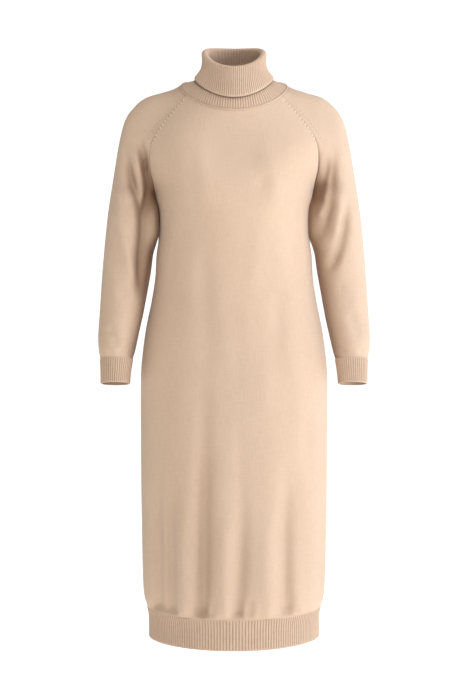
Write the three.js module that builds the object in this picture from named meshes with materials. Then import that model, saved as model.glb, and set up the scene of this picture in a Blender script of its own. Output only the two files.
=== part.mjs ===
// Knit midi dress, filled out as worn: folded rib turtleneck, raglan sleeves, rib cuffs and rib hem.
// Millimetres, +Z up, front towards -Y, the wearer's left arm towards +X. The origin is the middle of
// the neck base, where the shoulders carry the dress.
//
// Every piece is a wall on one of two surfaces. A body row runs from the centre of a face to its side
// seam or raglan, and a sleeve row from the raglan, or the inside of the arm, to the outside of the arm.
// Rows are named by their level: their height below the armpit, and a running number above it, where
// they climb to the neck seam at level 0. Faces are -1 for the front and +1 for the back, sides are
// -1 for the wearer's right and +1 for the left, and depths are measured from the side seams' plane.
import * as THREE from 'three';

// Driving dimensions
const NECK_LEVEL = 0;
const ARMPIT_LEVEL = -229;
const HEM_SEAM_LEVEL = -1092;
const HEM_LEVEL = -1155;
const CUFF_SEAM_LEVEL = -566;
const CUFF_LEVEL = -617;
const SEAM_GAP = 0.3;
const NECK_SEAM_LEVELS = 0.4;
const CLOTH = 2.0;
const RIB_HEIGHT = 1.0;
const COLLAR_CLOTH = 2.4;
const COLLAR_FOLD_GAP = 2.2;
const ROLL_GAP = 6.6;
const ROLL_START = 0.34;
const RIDGE_HEIGHT = 0.9;
const BODY_FULLNESS = 1.04;
const FOLD_FADE = 35;

// A cubic half loop stands out by this share of its handles
const HALF_LOOP_BULGE = 0.75;

// Folds die away towards a piece's sides: these powers and share say how close to them
const BODY_SIDE_CALM = 8;
const SLEEVE_OUTSIDE_CALM = 6;
const SLEEVE_SEAM_CALM = 0.15;

// Steps over which the slopes of the cloth and of the collar are taken
const LEVEL_STEP = 0.5;
const COLLAR_STEP = 0.01;
const PLACE_STEP = 0.002;

// How many ribs go round, and how many columns each half row of plain knit has
const HEM_RIBS_A_FACE = 86;
const CUFF_RIBS_A_FACE = 18;
const COLLAR_RIBS = 100;
const BODY_COLUMNS = 16;
const SLEEVE_COLUMNS = 12;
const HEM_INSIDE_COLUMNS = 14;
const COLLAR_PLAIN_COLUMNS = 36;

// Rows of plain knit
const SKIRT_LEVELS = [-1075, -1040, -970, -890, -810, -730, -655, -590, -535, -480, -425];
const WAIST_LEVELS = [-375, -325, -275];
const YOKE_LEVELS = [-198, -168, -138, -106, -70, -35];
const ARM_LEVELS = [-548, -522, -480, -435, -390, -350, -315, -270];

// Centre lines of the two faces
const FRONT_CENTRE = [
  { level: -1155, depth: 125, z: -1161 },
  { level: -1110, depth: 120, z: -1116 },
  { level: -1092, depth: 121, z: -1098 },
  { level: -1070, depth: 127, z: -1074 },
  { level: -1030, depth: 128, z: -1032 },
  { level: -900, depth: 121, z: -900 },
  { level: -750, depth: 117, z: -750 },
  { level: -600, depth: 112, z: -600 },
  { level: -500, depth: 108, z: -500 },
  { level: -430, depth: 108, z: -430 },
  { level: -360, depth: 113, z: -360 },
  { level: -290, depth: 121, z: -290 },
  { level: -229, depth: 125, z: -229 },
  { level: -180, depth: 121, z: -192 },
  { level: -120, depth: 111, z: -148 },
  { level: -60, depth: 98, z: -103 },
  { level: 0, depth: 85, z: -58 },
];
const BACK_CENTRE = [
  { level: -1155, depth: 124, z: -1155 },
  { level: -1110, depth: 118, z: -1110 },
  { level: -1092, depth: 120, z: -1092 },
  { level: -1070, depth: 126, z: -1070 },
  { level: -1030, depth: 127, z: -1030 },
  { level: -900, depth: 129, z: -900 },
  { level: -750, depth: 134, z: -750 },
  { level: -680, depth: 135, z: -680 },
  { level: -620, depth: 130, z: -620 },
  { level: -560, depth: 119, z: -560 },
  { level: -500, depth: 107, z: -500 },
  { level: -430, depth: 100, z: -430 },
  { level: -360, depth: 101, z: -360 },
  { level: -290, depth: 106, z: -290 },
  { level: -229, depth: 110, z: -229 },
  { level: -180, depth: 113, z: -170 },
  { level: -120, depth: 112, z: -104 },
  { level: -60, depth: 102, z: -36 },
  { level: 0, depth: 79, z: 14 },
];

// Half width at the side seams, below the armpit
const SIDE_SEAM = [
  { level: -1155, x: 179.5 },
  { level: -1110, x: 180 },
  { level: -1092, x: 183.5 },
  { level: -1075, x: 189 },
  { level: -1050, x: 192 },
  { level: -1000, x: 193.5 },
  { level: -900, x: 195 },
  { level: -750, x: 196 },
  { level: -600, x: 195.5 },
  { level: -550, x: 191 },
  { level: -500, x: 183.5 },
  { level: -450, x: 173 },
  { level: -399, x: 165 },
  { level: -350, x: 162 },
  { level: -315, x: 157 },
  { level: -262, x: 156.5 },
  { level: -229, x: 163 },
];

// Raglan seams. The turns are the directions, in degrees from the shoulder-to-shoulder line, in which
// the body reaches the seam and the sleeve leaves it. The rise is the row's slope there.
const FRONT_RAGLAN = [
  { level: -229, x: 163, depth: 0, z: -229, bodyTurn: 90, sleeveTurn: -90, fullness: 1.19, rise: 0 },
  { level: -205, x: 167, depth: 30, z: -204, bodyTurn: 70, sleeveTurn: -55, fullness: 1.15, rise: 0 },
  { level: -175, x: 173, depth: 52, z: -170, bodyTurn: 55, sleeveTurn: -15, fullness: 1.1, rise: 0.1 },
  { level: -145, x: 172, depth: 62, z: -134, bodyTurn: 48, sleeveTurn: 20, fullness: 1.05, rise: 0.25 },
  { level: -115, x: 163, depth: 63, z: -106, bodyTurn: 46, sleeveTurn: 38, fullness: 1, rise: 0.35 },
  { level: -80, x: 145, depth: 58, z: -78, bodyTurn: 47, sleeveTurn: 46, fullness: 1, rise: 0.42 },
  { level: -40, x: 122, depth: 49, z: -50, bodyTurn: 50, sleeveTurn: 50, fullness: 1, rise: 0.46 },
  { level: 0, x: 99.5, depth: 39, z: -24, bodyTurn: 55, sleeveTurn: 55, fullness: 1, rise: 0.52 },
];
const BACK_RAGLAN = [
  { level: -229, x: 163, depth: 0, z: -229, bodyTurn: 90, sleeveTurn: -90, fullness: 1.19, rise: 0 },
  { level: -205, x: 167, depth: 33, z: -202, bodyTurn: 70, sleeveTurn: -55, fullness: 1.15, rise: 0 },
  { level: -175, x: 172, depth: 56, z: -162, bodyTurn: 55, sleeveTurn: -15, fullness: 1.1, rise: 0.1 },
  { level: -145, x: 170, depth: 66, z: -121, bodyTurn: 48, sleeveTurn: 20, fullness: 1.05, rise: 0.25 },
  { level: -115, x: 161, depth: 67, z: -82, bodyTurn: 46, sleeveTurn: 38, fullness: 1, rise: 0.3 },
  { level: -80, x: 144, depth: 61, z: -44, bodyTurn: 47, sleeveTurn: 46, fullness: 1, rise: 0.25 },
  { level: -40, x: 120, depth: 50, z: -14, bodyTurn: 50, sleeveTurn: 50, fullness: 1, rise: 0.05 },
  { level: 0, x: 99.5, depth: 38, z: 9, bodyTurn: 52, sleeveTurn: 52, fullness: 1, rise: -0.17 },
];

// Top of the shoulder and outside of the upper arm, above the armpit
const SHOULDER_LINE = [
  { level: -229, x: 258, y: 0, z: -229, rise: 0 },
  { level: -205, x: 250, y: 2, z: -180, rise: 0 },
  { level: -175, x: 240, y: 4, z: -122, rise: 0 },
  { level: -145, x: 228, y: 5, z: -74, rise: 0 },
  { level: -115, x: 211, y: 6, z: -47, rise: 0 },
  { level: -80, x: 186, y: 6, z: -25.5, rise: 0 },
  { level: -40, x: 148, y: 5, z: -13.5, rise: 0.04 },
  { level: 0, x: 112.5, y: 2, z: -2.5, rise: 0.42 },
];

// Sleeve tube below the armpit: its inside and outside edges, its axis, half its depth, and the slope
// that squares its rows to the forearm
const SLEEVE_TUBE = [
  { level: -617, inner: 216.5, outer: 275.5, y: -51, depth: 29, tilt: 0.2 },
  { level: -592, inner: 214, outer: 276, y: -48, depth: 29.5, tilt: 0.2 },
  { level: -566, inner: 210, outer: 277.5, y: -44, depth: 32, tilt: 0.2 },
  { level: -548, inner: 205.5, outer: 280.5, y: -41, depth: 38, tilt: 0.17 },
  { level: -522, inner: 199.5, outer: 282, y: -37, depth: 41, tilt: 0.13 },
  { level: -475, inner: 189, outer: 279.5, y: -28, depth: 44, tilt: 0.06 },
  { level: -424, inner: 179.5, outer: 276.5, y: -20, depth: 47, tilt: 0.02 },
  { level: -386, inner: 173, outer: 274, y: -16, depth: 49, tilt: 0 },
  { level: -349, inner: 168, outer: 271, y: -14, depth: 51, tilt: 0 },
  { level: -322, inner: 160, outer: 268.5, y: -14, depth: 52, tilt: 0 },
  { level: -298, inner: 156.6, outer: 266, y: -14, depth: 53, tilt: 0 },
  { level: -262, inner: 157.2, outer: 262, y: -12, depth: 54, tilt: 0 },
  { level: -229, inner: 163, outer: 258, y: 0, depth: 56, tilt: 0 },
];

// Soft folds, seen from the front or the back: a line from its upper to its lower end, bowed sideways
// at its middle, with its half width and its height, which is negative in a trough
const FRONT_FOLDS = [
  { x0: -66, z0: -860, x1: -64, z1: -1120, bow: 2, width: 15, height: -5.5 },
  { x0: -60, z0: -380, x1: -56, z1: -560, bow: 3, width: 20, height: -2.5 },
  { x0: -131, z0: -900, x1: -128, z1: -1110, bow: 0, width: 13, height: -4 },
  { x0: -158, z0: -930, x1: -154, z1: -1110, bow: 0, width: 10, height: -3 },
  { x0: 24, z0: -850, x1: 8, z1: -1110, bow: 2, width: 14, height: -3.5 },
  { x0: 112, z0: -880, x1: 112, z1: -1110, bow: -2, width: 15, height: -3.5 },
  { x0: -108, z0: -850, x1: -106, z1: -1100, bow: 0, width: 15, height: 3.5 },
  { x0: -20, z0: -880, x1: -22, z1: -1100, bow: 0, width: 15, height: 3 },
  { x0: 68, z0: -860, x1: 66, z1: -1100, bow: 0, width: 18, height: 3 },
  { x0: 160, z0: -900, x1: 162, z1: -1100, bow: 0, width: 14, height: 2.5 },
  { x0: 92, z0: -410, x1: 90, z1: -500, bow: 0, width: 18, height: -2 },
];
const BACK_FOLDS = [
  { x0: 60, z0: -900, x1: 64, z1: -1120, bow: 2, width: 15, height: -5 },
  { x0: -34, z0: -860, x1: -28, z1: -1115, bow: 0, width: 15, height: -4 },
  { x0: 134, z0: -920, x1: 130, z1: -1110, bow: 0, width: 13, height: -3.5 },
  { x0: -118, z0: -880, x1: -122, z1: -1110, bow: 0, width: 14, height: -4 },
  { x0: 14, z0: -870, x1: 18, z1: -1100, bow: 0, width: 17, height: 3 },
  { x0: -76, z0: -890, x1: -74, z1: -1100, bow: 0, width: 16, height: 3.5 },
  { x0: 100, z0: -870, x1: 98, z1: -1100, bow: 0, width: 16, height: 3 },
  { x0: -95, z0: -395, x1: 90, z1: -405, bow: -14, width: 16, height: -3 },
];
const FRONT_SLEEVE_FOLDS = [
  { x0: 198, z0: -150, x1: 164, z1: -245, bow: 6, width: 9, height: -5 },
  { x0: 197, z0: -205, x1: 170, z1: -278, bow: 6, width: 8, height: 3.5 },
  { x0: 213, z0: -125, x1: 178, z1: -330, bow: 22, width: 11, height: -5 },
  { x0: 214, z0: -255, x1: 196, z1: -325, bow: 5, width: 9, height: 3.5 },
  { x0: 234, z0: -240, x1: 194, z1: -390, bow: 16, width: 13, height: -4.5 },
  { x0: 236, z0: -470, x1: 262, z1: -520, bow: 0, width: 12, height: -3 },
  { x0: -220, z0: -125, x1: -165, z1: -245, bow: -7, width: 11, height: -5 },
  { x0: -209, z0: -125, x1: -160, z1: -270, bow: -8, width: 10, height: 4 },
  { x0: -236, z0: -195, x1: -191, z1: -415, bow: -16, width: 13, height: 4 },
  { x0: -190, z0: -260, x1: -189, z1: -365, bow: 2, width: 12, height: -4 },
  { x0: -231, z0: -368, x1: -219, z1: -382, bow: 0, width: 9, height: -3 },
  { x0: -262, z0: -500, x1: -232, z1: -535, bow: 0, width: 11, height: -3 },
];
const BACK_SLEEVE_FOLDS = [
  { x0: 200, z0: -140, x1: 165, z1: -250, bow: 8, width: 12, height: -5 },
  { x0: 205, z0: -362, x1: 262, z1: -388, bow: -6, width: 14, height: -4 },
  { x0: 208, z0: -412, x1: 264, z1: -425, bow: -4, width: 12, height: -3.5 },
  { x0: 216, z0: -500, x1: 268, z1: -515, bow: 0, width: 11, height: -3 },
  { x0: -206, z0: -135, x1: -166, z1: -248, bow: -8, width: 12, height: -5 },
  { x0: -203, z0: -370, x1: -264, z1: -380, bow: 5, width: 13, height: -4 },
  { x0: -212, z0: -430, x1: -266, z1: -448, bow: 4, width: 12, height: -3 },
  { x0: -218, z0: -508, x1: -266, z1: -500, bow: 0, width: 11, height: -3 },
];
const BUST_FOLDS = [
  { x0: 78, z0: -190, x1: 80, z1: -225, bow: 0, width: 52, height: 8 },
  { x0: -78, z0: -190, x1: -80, z1: -225, bow: 0, width: 52, height: 8 },
];
const BACK_SHAPE_FOLDS = [
  { x0: 85, z0: -110, x1: 80, z1: -150, bow: 0, width: 45, height: 4 },
  { x0: -85, z0: -110, x1: -80, z1: -150, bow: 0, width: 45, height: 4 },
  { x0: 75, z0: -640, x1: 75, z1: -670, bow: 0, width: 60, height: 5 },
  { x0: -75, z0: -640, x1: -75, z1: -670, bow: 0, width: 60, height: 5 },
];

const FACES = {
  '-1': { centre: FRONT_CENTRE, raglan: FRONT_RAGLAN, folds: [...FRONT_FOLDS, ...BUST_FOLDS] },
  1: { centre: BACK_CENTRE, raglan: BACK_RAGLAN, folds: [...BACK_FOLDS, ...BACK_SHAPE_FOLDS] },
};
const SLEEVE_FACES = { '-1': FRONT_SLEEVE_FOLDS, 1: BACK_SLEEVE_FOLDS };

// Collar rings, where they cross the centre front, the sides and the centre back. The base climbs
// from the neck seam, and the turned-down layer from its lower edge to the roll.
const COLLAR_SIDE_Y = 3;
const COLLAR_BASE = [
  { step: 0, frontY: -85, frontZ: -58, sideX: 112.5, sideZ: -2.5, backY: 79, backZ: 14 },
  { step: 0.5, frontY: -80, frontZ: -39, sideX: 95.5, sideZ: 3, backY: 79, backZ: 17.5 },
  { step: 1, frontY: -75.5, frontZ: -22, sideX: 80.5, sideZ: 9.5, backY: 78.5, backZ: 22 },
];
const COLLAR_FOLD = [
  { step: 0, frontY: -83, frontZ: -28.5, sideX: 82.5, sideZ: 16.5, backY: 85.5, backZ: 14 },
  { step: 0.14, frontY: -79, frontZ: -17, sideX: 75.5, sideZ: 24.5, backY: 84, backZ: 24 },
  { step: 0.34, frontY: -74, frontZ: -2, sideX: 68.5, sideZ: 35.5, backY: 82, backZ: 38 },
  { step: 0.6, frontY: -68.5, frontZ: 14, sideX: 65.5, sideZ: 49.5, backY: 80.5, backZ: 58 },
  { step: 1, frontY: -64.5, frontZ: 30.5, sideX: 66.5, sideZ: 66, backY: 79.5, backZ: 80 },
];

// Value of every column of a table at a level or step, on a smooth curve through its rows
function readTable(rows, key, at) {
  let upper = rows.findIndex((row) => row[key] > at);
  if (upper < 0) {
    upper = rows.length - 1;
  }
  upper = Math.max(upper, 1);
  const a = rows[upper - 1];
  const b = rows[upper];
  const before = rows[Math.max(upper - 2, 0)];
  const after = rows[Math.min(upper + 1, rows.length - 1)];
  const span = b[key] - a[key];
  const f = (at - a[key]) / span;
  const result = {};
  for (const column of Object.keys(a)) {
    const slope = (from, to) => (to[column] - from[column]) / (to[key] - from[key]);
    const slopeA = slope(before, b) * span;
    const slopeB = slope(a, after) * span;
    const rest = 1 - f;
    result[column] = (1 + 2 * f) * rest * rest * a[column] + f * rest * rest * slopeA
      + f * f * (3 - 2 * f) * b[column] - f * f * rest * slopeB;
  }
  return result;
}

function cubic(p0, p1, p2, p3, t) {
  const r = 1 - t;
  return new THREE.Vector3()
    .addScaledVector(p0, r * r * r)
    .addScaledVector(p1, 3 * r * r * t)
    .addScaledVector(p2, 3 * r * t * t)
    .addScaledVector(p3, t * t * t);
}

// Direction of a row in its own face: across, towards the side seams' plane, and up
function heading(degrees, rise) {
  const angle = THREE.MathUtils.degToRad(degrees);
  return new THREE.Vector3(Math.cos(angle), -Math.sin(angle), rise);
}

// Edge of a body row: the side seam below the armpit, the raglan above it
function bodyEdge(face, level) {
  if (level < ARMPIT_LEVEL) {
    return { x: readTable(SIDE_SEAM, 'level', level).x, depth: 0, z: level, bodyTurn: 90, rise: 0 };
  }
  return readTable(FACES[face].raglan, 'level', level);
}

// Point of a body row before its folds: t is 0 at the centre of the face and 1 at its edge
function plainBodyPoint(side, face, level, t) {
  const centre = readTable(FACES[face].centre, 'level', level);
  const edge = bodyEdge(face, level);
  const start = new THREE.Vector3(0, centre.depth, centre.z);
  const end = new THREE.Vector3(edge.x, edge.depth, edge.z);
  const out = heading(0, 0);
  const turn = heading(edge.bodyTurn, edge.rise);
  const chord = end.clone().sub(start).setZ(0);
  const angle = THREE.MathUtils.degToRad(edge.bodyTurn);
  const reach = BODY_FULLNESS / (3 * Math.cos(angle / 4) ** 2 * Math.cos(angle / 2));
  const first = start.clone().addScaledVector(out, reach * chord.dot(out));
  const second = end.clone().addScaledVector(turn, -reach * chord.dot(turn.clone().setZ(0)));
  const p = cubic(start, first, second, end, t);
  return new THREE.Vector3(side * p.x, face * p.y, p.z);
}

// Point of a sleeve row before its folds: t is 0 at the raglan or the inside of the arm, and 1 at the
// top of the shoulder or the outside of the arm
function plainSleevePoint(side, face, level, t) {
  if (level < ARMPIT_LEVEL) {
    const tube = readTable(SLEEVE_TUBE, 'level', level);
    const handle = new THREE.Vector3(0, tube.depth / HALF_LOOP_BULGE, 0);
    const inside = new THREE.Vector3(tube.inner, face * tube.y, level);
    const outside = new THREE.Vector3(tube.outer, face * tube.y, level);
    const p = cubic(inside, inside.clone().add(handle), outside.clone().add(handle), outside, t);
    const y = face * p.y;
    return new THREE.Vector3(side * p.x, y, p.z + (tube.y - y) * tube.tilt);
  }
  const seam = readTable(FACES[face].raglan, 'level', level);
  const top = readTable(SHOULDER_LINE, 'level', level);
  const start = new THREE.Vector3(seam.x, seam.depth, seam.z);
  const end = new THREE.Vector3(top.x, face * top.y, top.z);
  const leave = heading(seam.sleeveTurn, seam.rise);
  const arrive = heading(90, -face * top.rise);
  const angle = THREE.MathUtils.degToRad(90 - seam.sleeveTurn);
  const reach = seam.fullness * start.distanceTo(end) / (3 * Math.cos(angle / 4) ** 2);
  const first = start.clone().addScaledVector(leave, reach);
  const second = end.clone().addScaledVector(arrive, -reach);
  const p = cubic(start, first, second, end, t);
  return new THREE.Vector3(side * p.x, face * p.y, p.z);
}

// Height of the folds at a point seen along Y
function foldHeight(folds, x, z) {
  let height = 0;
  for (const fold of folds) {
    const along = new THREE.Vector2(fold.x1 - fold.x0, fold.z1 - fold.z0);
    const length = along.length();
    along.divideScalar(length);
    const from = new THREE.Vector2(x - fold.x0, z - fold.z0);
    const place = THREE.MathUtils.clamp(from.dot(along) / length, 0, 1);
    const across = from.addScaledVector(along, -place * length);
    const bow = fold.bow * 4 * place * (1 - place);
    across.x -= bow * -along.y;
    across.y -= bow * along.x;
    height += fold.height * Math.exp(-across.lengthSq() / (fold.width * fold.width));
  }
  return height;
}

// A surface gives its points by row and place. Its outward direction comes from its slopes there, and
// its way is -1 where its places run the other way round the dress.
function surfaceNormal(surface, row, place) {
  const { rowStep, placeStep, lastRow, places } = surface;
  const low = Math.max(place - placeStep, places[0]);
  const high = Math.min(place + placeStep, places[1]);
  const along = surface.point(row, high).sub(surface.point(row, low));
  const up = surface.point(Math.min(row + rowStep, lastRow), place).sub(surface.point(row - rowStep, place));
  return along.cross(up).normalize().multiplyScalar(surface.way);
}

function clothSurface(side, face, point) {
  return {
    point,
    rowStep: LEVEL_STEP,
    placeStep: PLACE_STEP,
    lastRow: NECK_LEVEL,
    places: [0, 1],
    way: -side * face,
  };
}

// A cloth surface with its folds: calm is how far they show, from 0 to 1
function foldedSurface(side, face, plainPoint, folds, calm) {
  const plain = clothSurface(side, face, (level, t) => plainPoint(side, face, level, t));
  return clothSurface(side, face, (level, t) => {
    const p = plain.point(level, t);
    const height = foldHeight(folds, p.x, p.z) * calm(level, t);
    return p.addScaledVector(surfaceNormal(plain, level, t), height);
  });
}

function bodySurface(side, face) {
  return foldedSurface(side, face, plainBodyPoint, FACES[face].folds, (level, t) => {
    const hemCalm = THREE.MathUtils.smoothstep(level, HEM_SEAM_LEVEL, HEM_SEAM_LEVEL + FOLD_FADE);
    const neckCalm = THREE.MathUtils.smoothstep(-level, NECK_LEVEL, FOLD_FADE);
    return hemCalm * neckCalm * (1 - t ** BODY_SIDE_CALM);
  });
}

function sleeveSurface(side, face) {
  return foldedSurface(side, face, plainSleevePoint, SLEEVE_FACES[face], (level, t) => {
    const cuffCalm = THREE.MathUtils.smoothstep(level, CUFF_SEAM_LEVEL, CUFF_SEAM_LEVEL + FOLD_FADE);
    const seamCalm = THREE.MathUtils.smoothstep(t, 0, SLEEVE_SEAM_CALM);
    return cuffCalm * seamCalm * (1 - t ** SLEEVE_OUTSIDE_CALM);
  });
}

// Direction from a body piece to the sleeve beside it, along which their seam opens. At the armpit,
// where the two run back to back, it is straight outwards.
function seamOpening(side, face, level) {
  const OUTWARDS = 0.2;
  if (level < ARMPIT_LEVEL) {
    return new THREE.Vector3(side, 0, 0);
  }
  const seam = readTable(FACES[face].raglan, 'level', level);
  const across = heading(seam.bodyTurn, seam.rise).add(heading(seam.sleeveTurn, seam.rise));
  across.x += OUTWARDS;
  across.normalize();
  return new THREE.Vector3(side * across.x, face * across.y, across.z);
}

// The outer point of a wall at a row and place, and the inner point behind it. A rib stands out from
// the outer point alone.
function wallPoints(surface, row, place, cloth, rib) {
  const normal = surfaceNormal(surface, row, place);
  const outer = surface.point(row, place);
  const inner = outer.clone().addScaledVector(normal, -cloth);
  outer.addScaledVector(normal, rib);
  return { outer, inner };
}

// A row of a body piece, from one side seam or raglan to the other, with the face to the right of it
function bodyRow(face, level, columns, ribs) {
  const outer = [];
  const inner = [];
  for (let i = -columns; i <= columns; i += 1) {
    const side = i < 0 ? face : -face;
    const t = Math.abs(i) / columns;
    const rib = ribs && i % 2 !== 0 ? RIB_HEIGHT : 0;
    const points = wallPoints(bodySurface(side, face), level, t, CLOTH, rib);
    const shift = new THREE.Vector3();
    if (t === 1) {
      shift.y = face * SEAM_GAP / 2;
      if (level >= ARMPIT_LEVEL) {
        shift.addScaledVector(seamOpening(side, face, level), -SEAM_GAP / 2);
      }
    }
    outer.push(points.outer.add(shift));
    inner.push(points.inner.add(shift));
  }
  return { outer, inner };
}

// A row of a sleeve or cuff, from its front edge round the outside of the arm to its back edge. Up to
// the armpit it is a ring from the inside of the arm, and ends on its first point.
function sleeveRow(side, level, columns, ribs) {
  const outer = [];
  const inner = [];
  for (const face of [-1, 1]) {
    const surface = sleeveSurface(side, face);
    const first = face < 0 ? 0 : columns - 1;
    for (let i = first; i >= 0 && i <= columns; i -= face) {
      const rib = ribs && i % 2 !== 0 ? RIB_HEIGHT : 0;
      const points = wallPoints(surface, level, i / columns, CLOTH, rib);
      const shift = new THREE.Vector3();
      if (i === 0) {
        shift.addScaledVector(seamOpening(side, face, level), SEAM_GAP / 2);
      }
      outer.push(points.outer.add(shift));
      inner.push(points.inner.add(shift));
    }
  }
  if (level <= ARMPIT_LEVEL) {
    outer.splice(-1, 1, outer[0]);
    inner.splice(-1, 1, inner[0]);
  }
  if (side < 0) {
    outer.reverse();
    inner.reverse();
  }
  return { outer, inner };
}

// Collects a piece's triangles
class Skin {
  constructor() {
    this.positions = [];
  }

  triangle(a, b, c) {
    for (const p of [a, b, c]) {
      this.positions.push(p.x, p.y, p.z);
    }
  }

  // Joins two chains of points, which may have different counts
  band(lower, upper) {
    const n = lower.length - 1;
    const m = upper.length - 1;
    let i = 0;
    let j = 0;
    while (i < n || j < m) {
      if (j === m || (i < n && (i + 1) / n <= (j + 1) / m)) {
        this.triangle(lower[i], lower[i + 1], upper[j]);
        i += 1;
      } else {
        this.triangle(lower[i], upper[j + 1], upper[j]);
        j += 1;
      }
    }
  }

  bands(chains) {
    for (let i = 1; i < chains.length; i += 1) {
      this.band(chains[i - 1], chains[i]);
    }
  }

  mesh(name, colour) {
    const geometry = new THREE.BufferGeometry();
    geometry.setAttribute('position', new THREE.Float32BufferAttribute(this.positions, 3));
    const material = new THREE.MeshStandardMaterial({ color: colour, roughness: 0.9, metalness: 0 });
    const mesh = new THREE.Mesh(geometry, material);
    mesh.name = name;
    return mesh;
  }
}

// A wall through rows of outer and inner points, from the lowest row up. Its sides are closed from the
// row that openFrom names, and the rows below that are rings.
function wall(outerRows, innerRows, openFrom) {
  const skin = new Skin();
  skin.bands(outerRows);
  skin.bands([...innerRows].reverse());
  skin.band(innerRows[0], outerRows[0]);
  skin.band(outerRows.at(-1), innerRows.at(-1));
  const start = (rows) => rows.slice(openFrom).map((row) => row[0]);
  const end = (rows) => rows.slice(openFrom).map((row) => row.at(-1));
  skin.band(start(outerRows), start(innerRows));
  skin.band(end(innerRows), end(outerRows));
  return skin;
}

function panel(face, name, colour) {
  const levels = [
    HEM_SEAM_LEVEL + SEAM_GAP, ...SKIRT_LEVELS, ...WAIST_LEVELS, ARMPIT_LEVEL, ...YOKE_LEVELS,
    NECK_LEVEL - NECK_SEAM_LEVELS,
  ];
  const rows = levels.map((level) => bodyRow(face, level, BODY_COLUMNS, false));
  return wall(rows.map((row) => row.outer), rows.map((row) => row.inner), 0).mesh(name, colour);
}

function sleeve(side, name, colour) {
  const tubeLevels = [CUFF_SEAM_LEVEL + SEAM_GAP, ...ARM_LEVELS];
  const levels = [...tubeLevels, ARMPIT_LEVEL, ...YOKE_LEVELS, NECK_LEVEL - NECK_SEAM_LEVELS];
  const rows = levels.map((level) => sleeveRow(side, level, SLEEVE_COLUMNS, false));
  const openFrom = tubeLevels.length;
  return wall(rows.map((row) => row.outer), rows.map((row) => row.inner), openFrom).mesh(name, colour);
}

function hemRib(face, name, colour) {
  const levels = [HEM_LEVEL, (HEM_LEVEL + HEM_SEAM_LEVEL) / 2, HEM_SEAM_LEVEL];
  const ribbed = levels.map((level) => bodyRow(face, level, HEM_RIBS_A_FACE, true).outer);
  const plain = levels.map((level) => bodyRow(face, level, HEM_INSIDE_COLUMNS, false).inner);
  return wall(ribbed, plain, 0).mesh(name, colour);
}

function cuff(side, name, colour) {
  const levels = [CUFF_LEVEL, (CUFF_LEVEL + CUFF_SEAM_LEVEL) / 2, CUFF_SEAM_LEVEL];
  const ribbed = levels.map((level) => sleeveRow(side, level, 2 * CUFF_RIBS_A_FACE, true).outer);
  const plain = levels.map((level) => sleeveRow(side, level, SLEEVE_COLUMNS, false).inner);
  return wall(ribbed, plain, levels.length - 1).mesh(name, colour);
}

// Points and outward directions at even distances along the neck seam, once round from the centre
// front by the wearer's left
function neckSeam(count) {
  const STEPS = 40;
  const seam = [];
  const follow = (surface, from, to) => {
    for (let i = 0; i < STEPS; i += 1) {
      const place = from + (to - from) * i / STEPS;
      seam.push({ p: surface.point(NECK_LEVEL, place), n: surfaceNormal(surface, NECK_LEVEL, place) });
    }
  };
  follow(bodySurface(1, -1), 0, 1);
  follow(sleeveSurface(1, -1), 0, 1);
  follow(sleeveSurface(1, 1), 1, 0);
  follow(bodySurface(1, 1), 1, 0);
  follow(bodySurface(-1, 1), 0, 1);
  follow(sleeveSurface(-1, 1), 0, 1);
  follow(sleeveSurface(-1, -1), 1, 0);
  follow(bodySurface(-1, -1), 1, 0);
  seam.push(seam[0]);
  const reached = [0];
  for (let i = 1; i < seam.length; i += 1) {
    reached.push(reached[i - 1] + seam[i].p.distanceTo(seam[i - 1].p));
  }
  const found = [];
  let k = 1;
  for (let i = 0; i < count; i += 1) {
    const wanted = reached.at(-1) * i / count;
    while (reached[k] < wanted) {
      k += 1;
    }
    const f = (wanted - reached[k - 1]) / (reached[k] - reached[k - 1]);
    const a = seam[k - 1];
    const b = seam[k];
    found.push({ p: a.p.clone().lerp(b.p, f), n: a.n.clone().lerp(b.n, f).normalize() });
  }
  return found;
}

// Point of a collar ring: u runs once round from the centre front by the wearer's left
function ringPoint(table, step, u) {
  const ring = readTable(table, 'step', step);
  const angle = 2 * Math.PI * u;
  const front = Math.cos(angle);
  const reach = front > 0 ? COLLAR_SIDE_Y - ring.frontY : ring.backY - COLLAR_SIDE_Y;
  const slope = (ring.frontZ - ring.backZ) / 2;
  const dish = (ring.frontZ + ring.backZ) / 2 - ring.sideZ;
  return new THREE.Vector3(
    ring.sideX * Math.sin(angle),
    COLLAR_SIDE_Y - reach * front,
    ring.sideZ + slope * front + dish * front * front,
  );
}

function collarSurface(point) {
  return { point, rowStep: COLLAR_STEP, placeStep: PLACE_STEP, lastRow: 1, places: [-1, 2], way: 1 };
}

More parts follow.
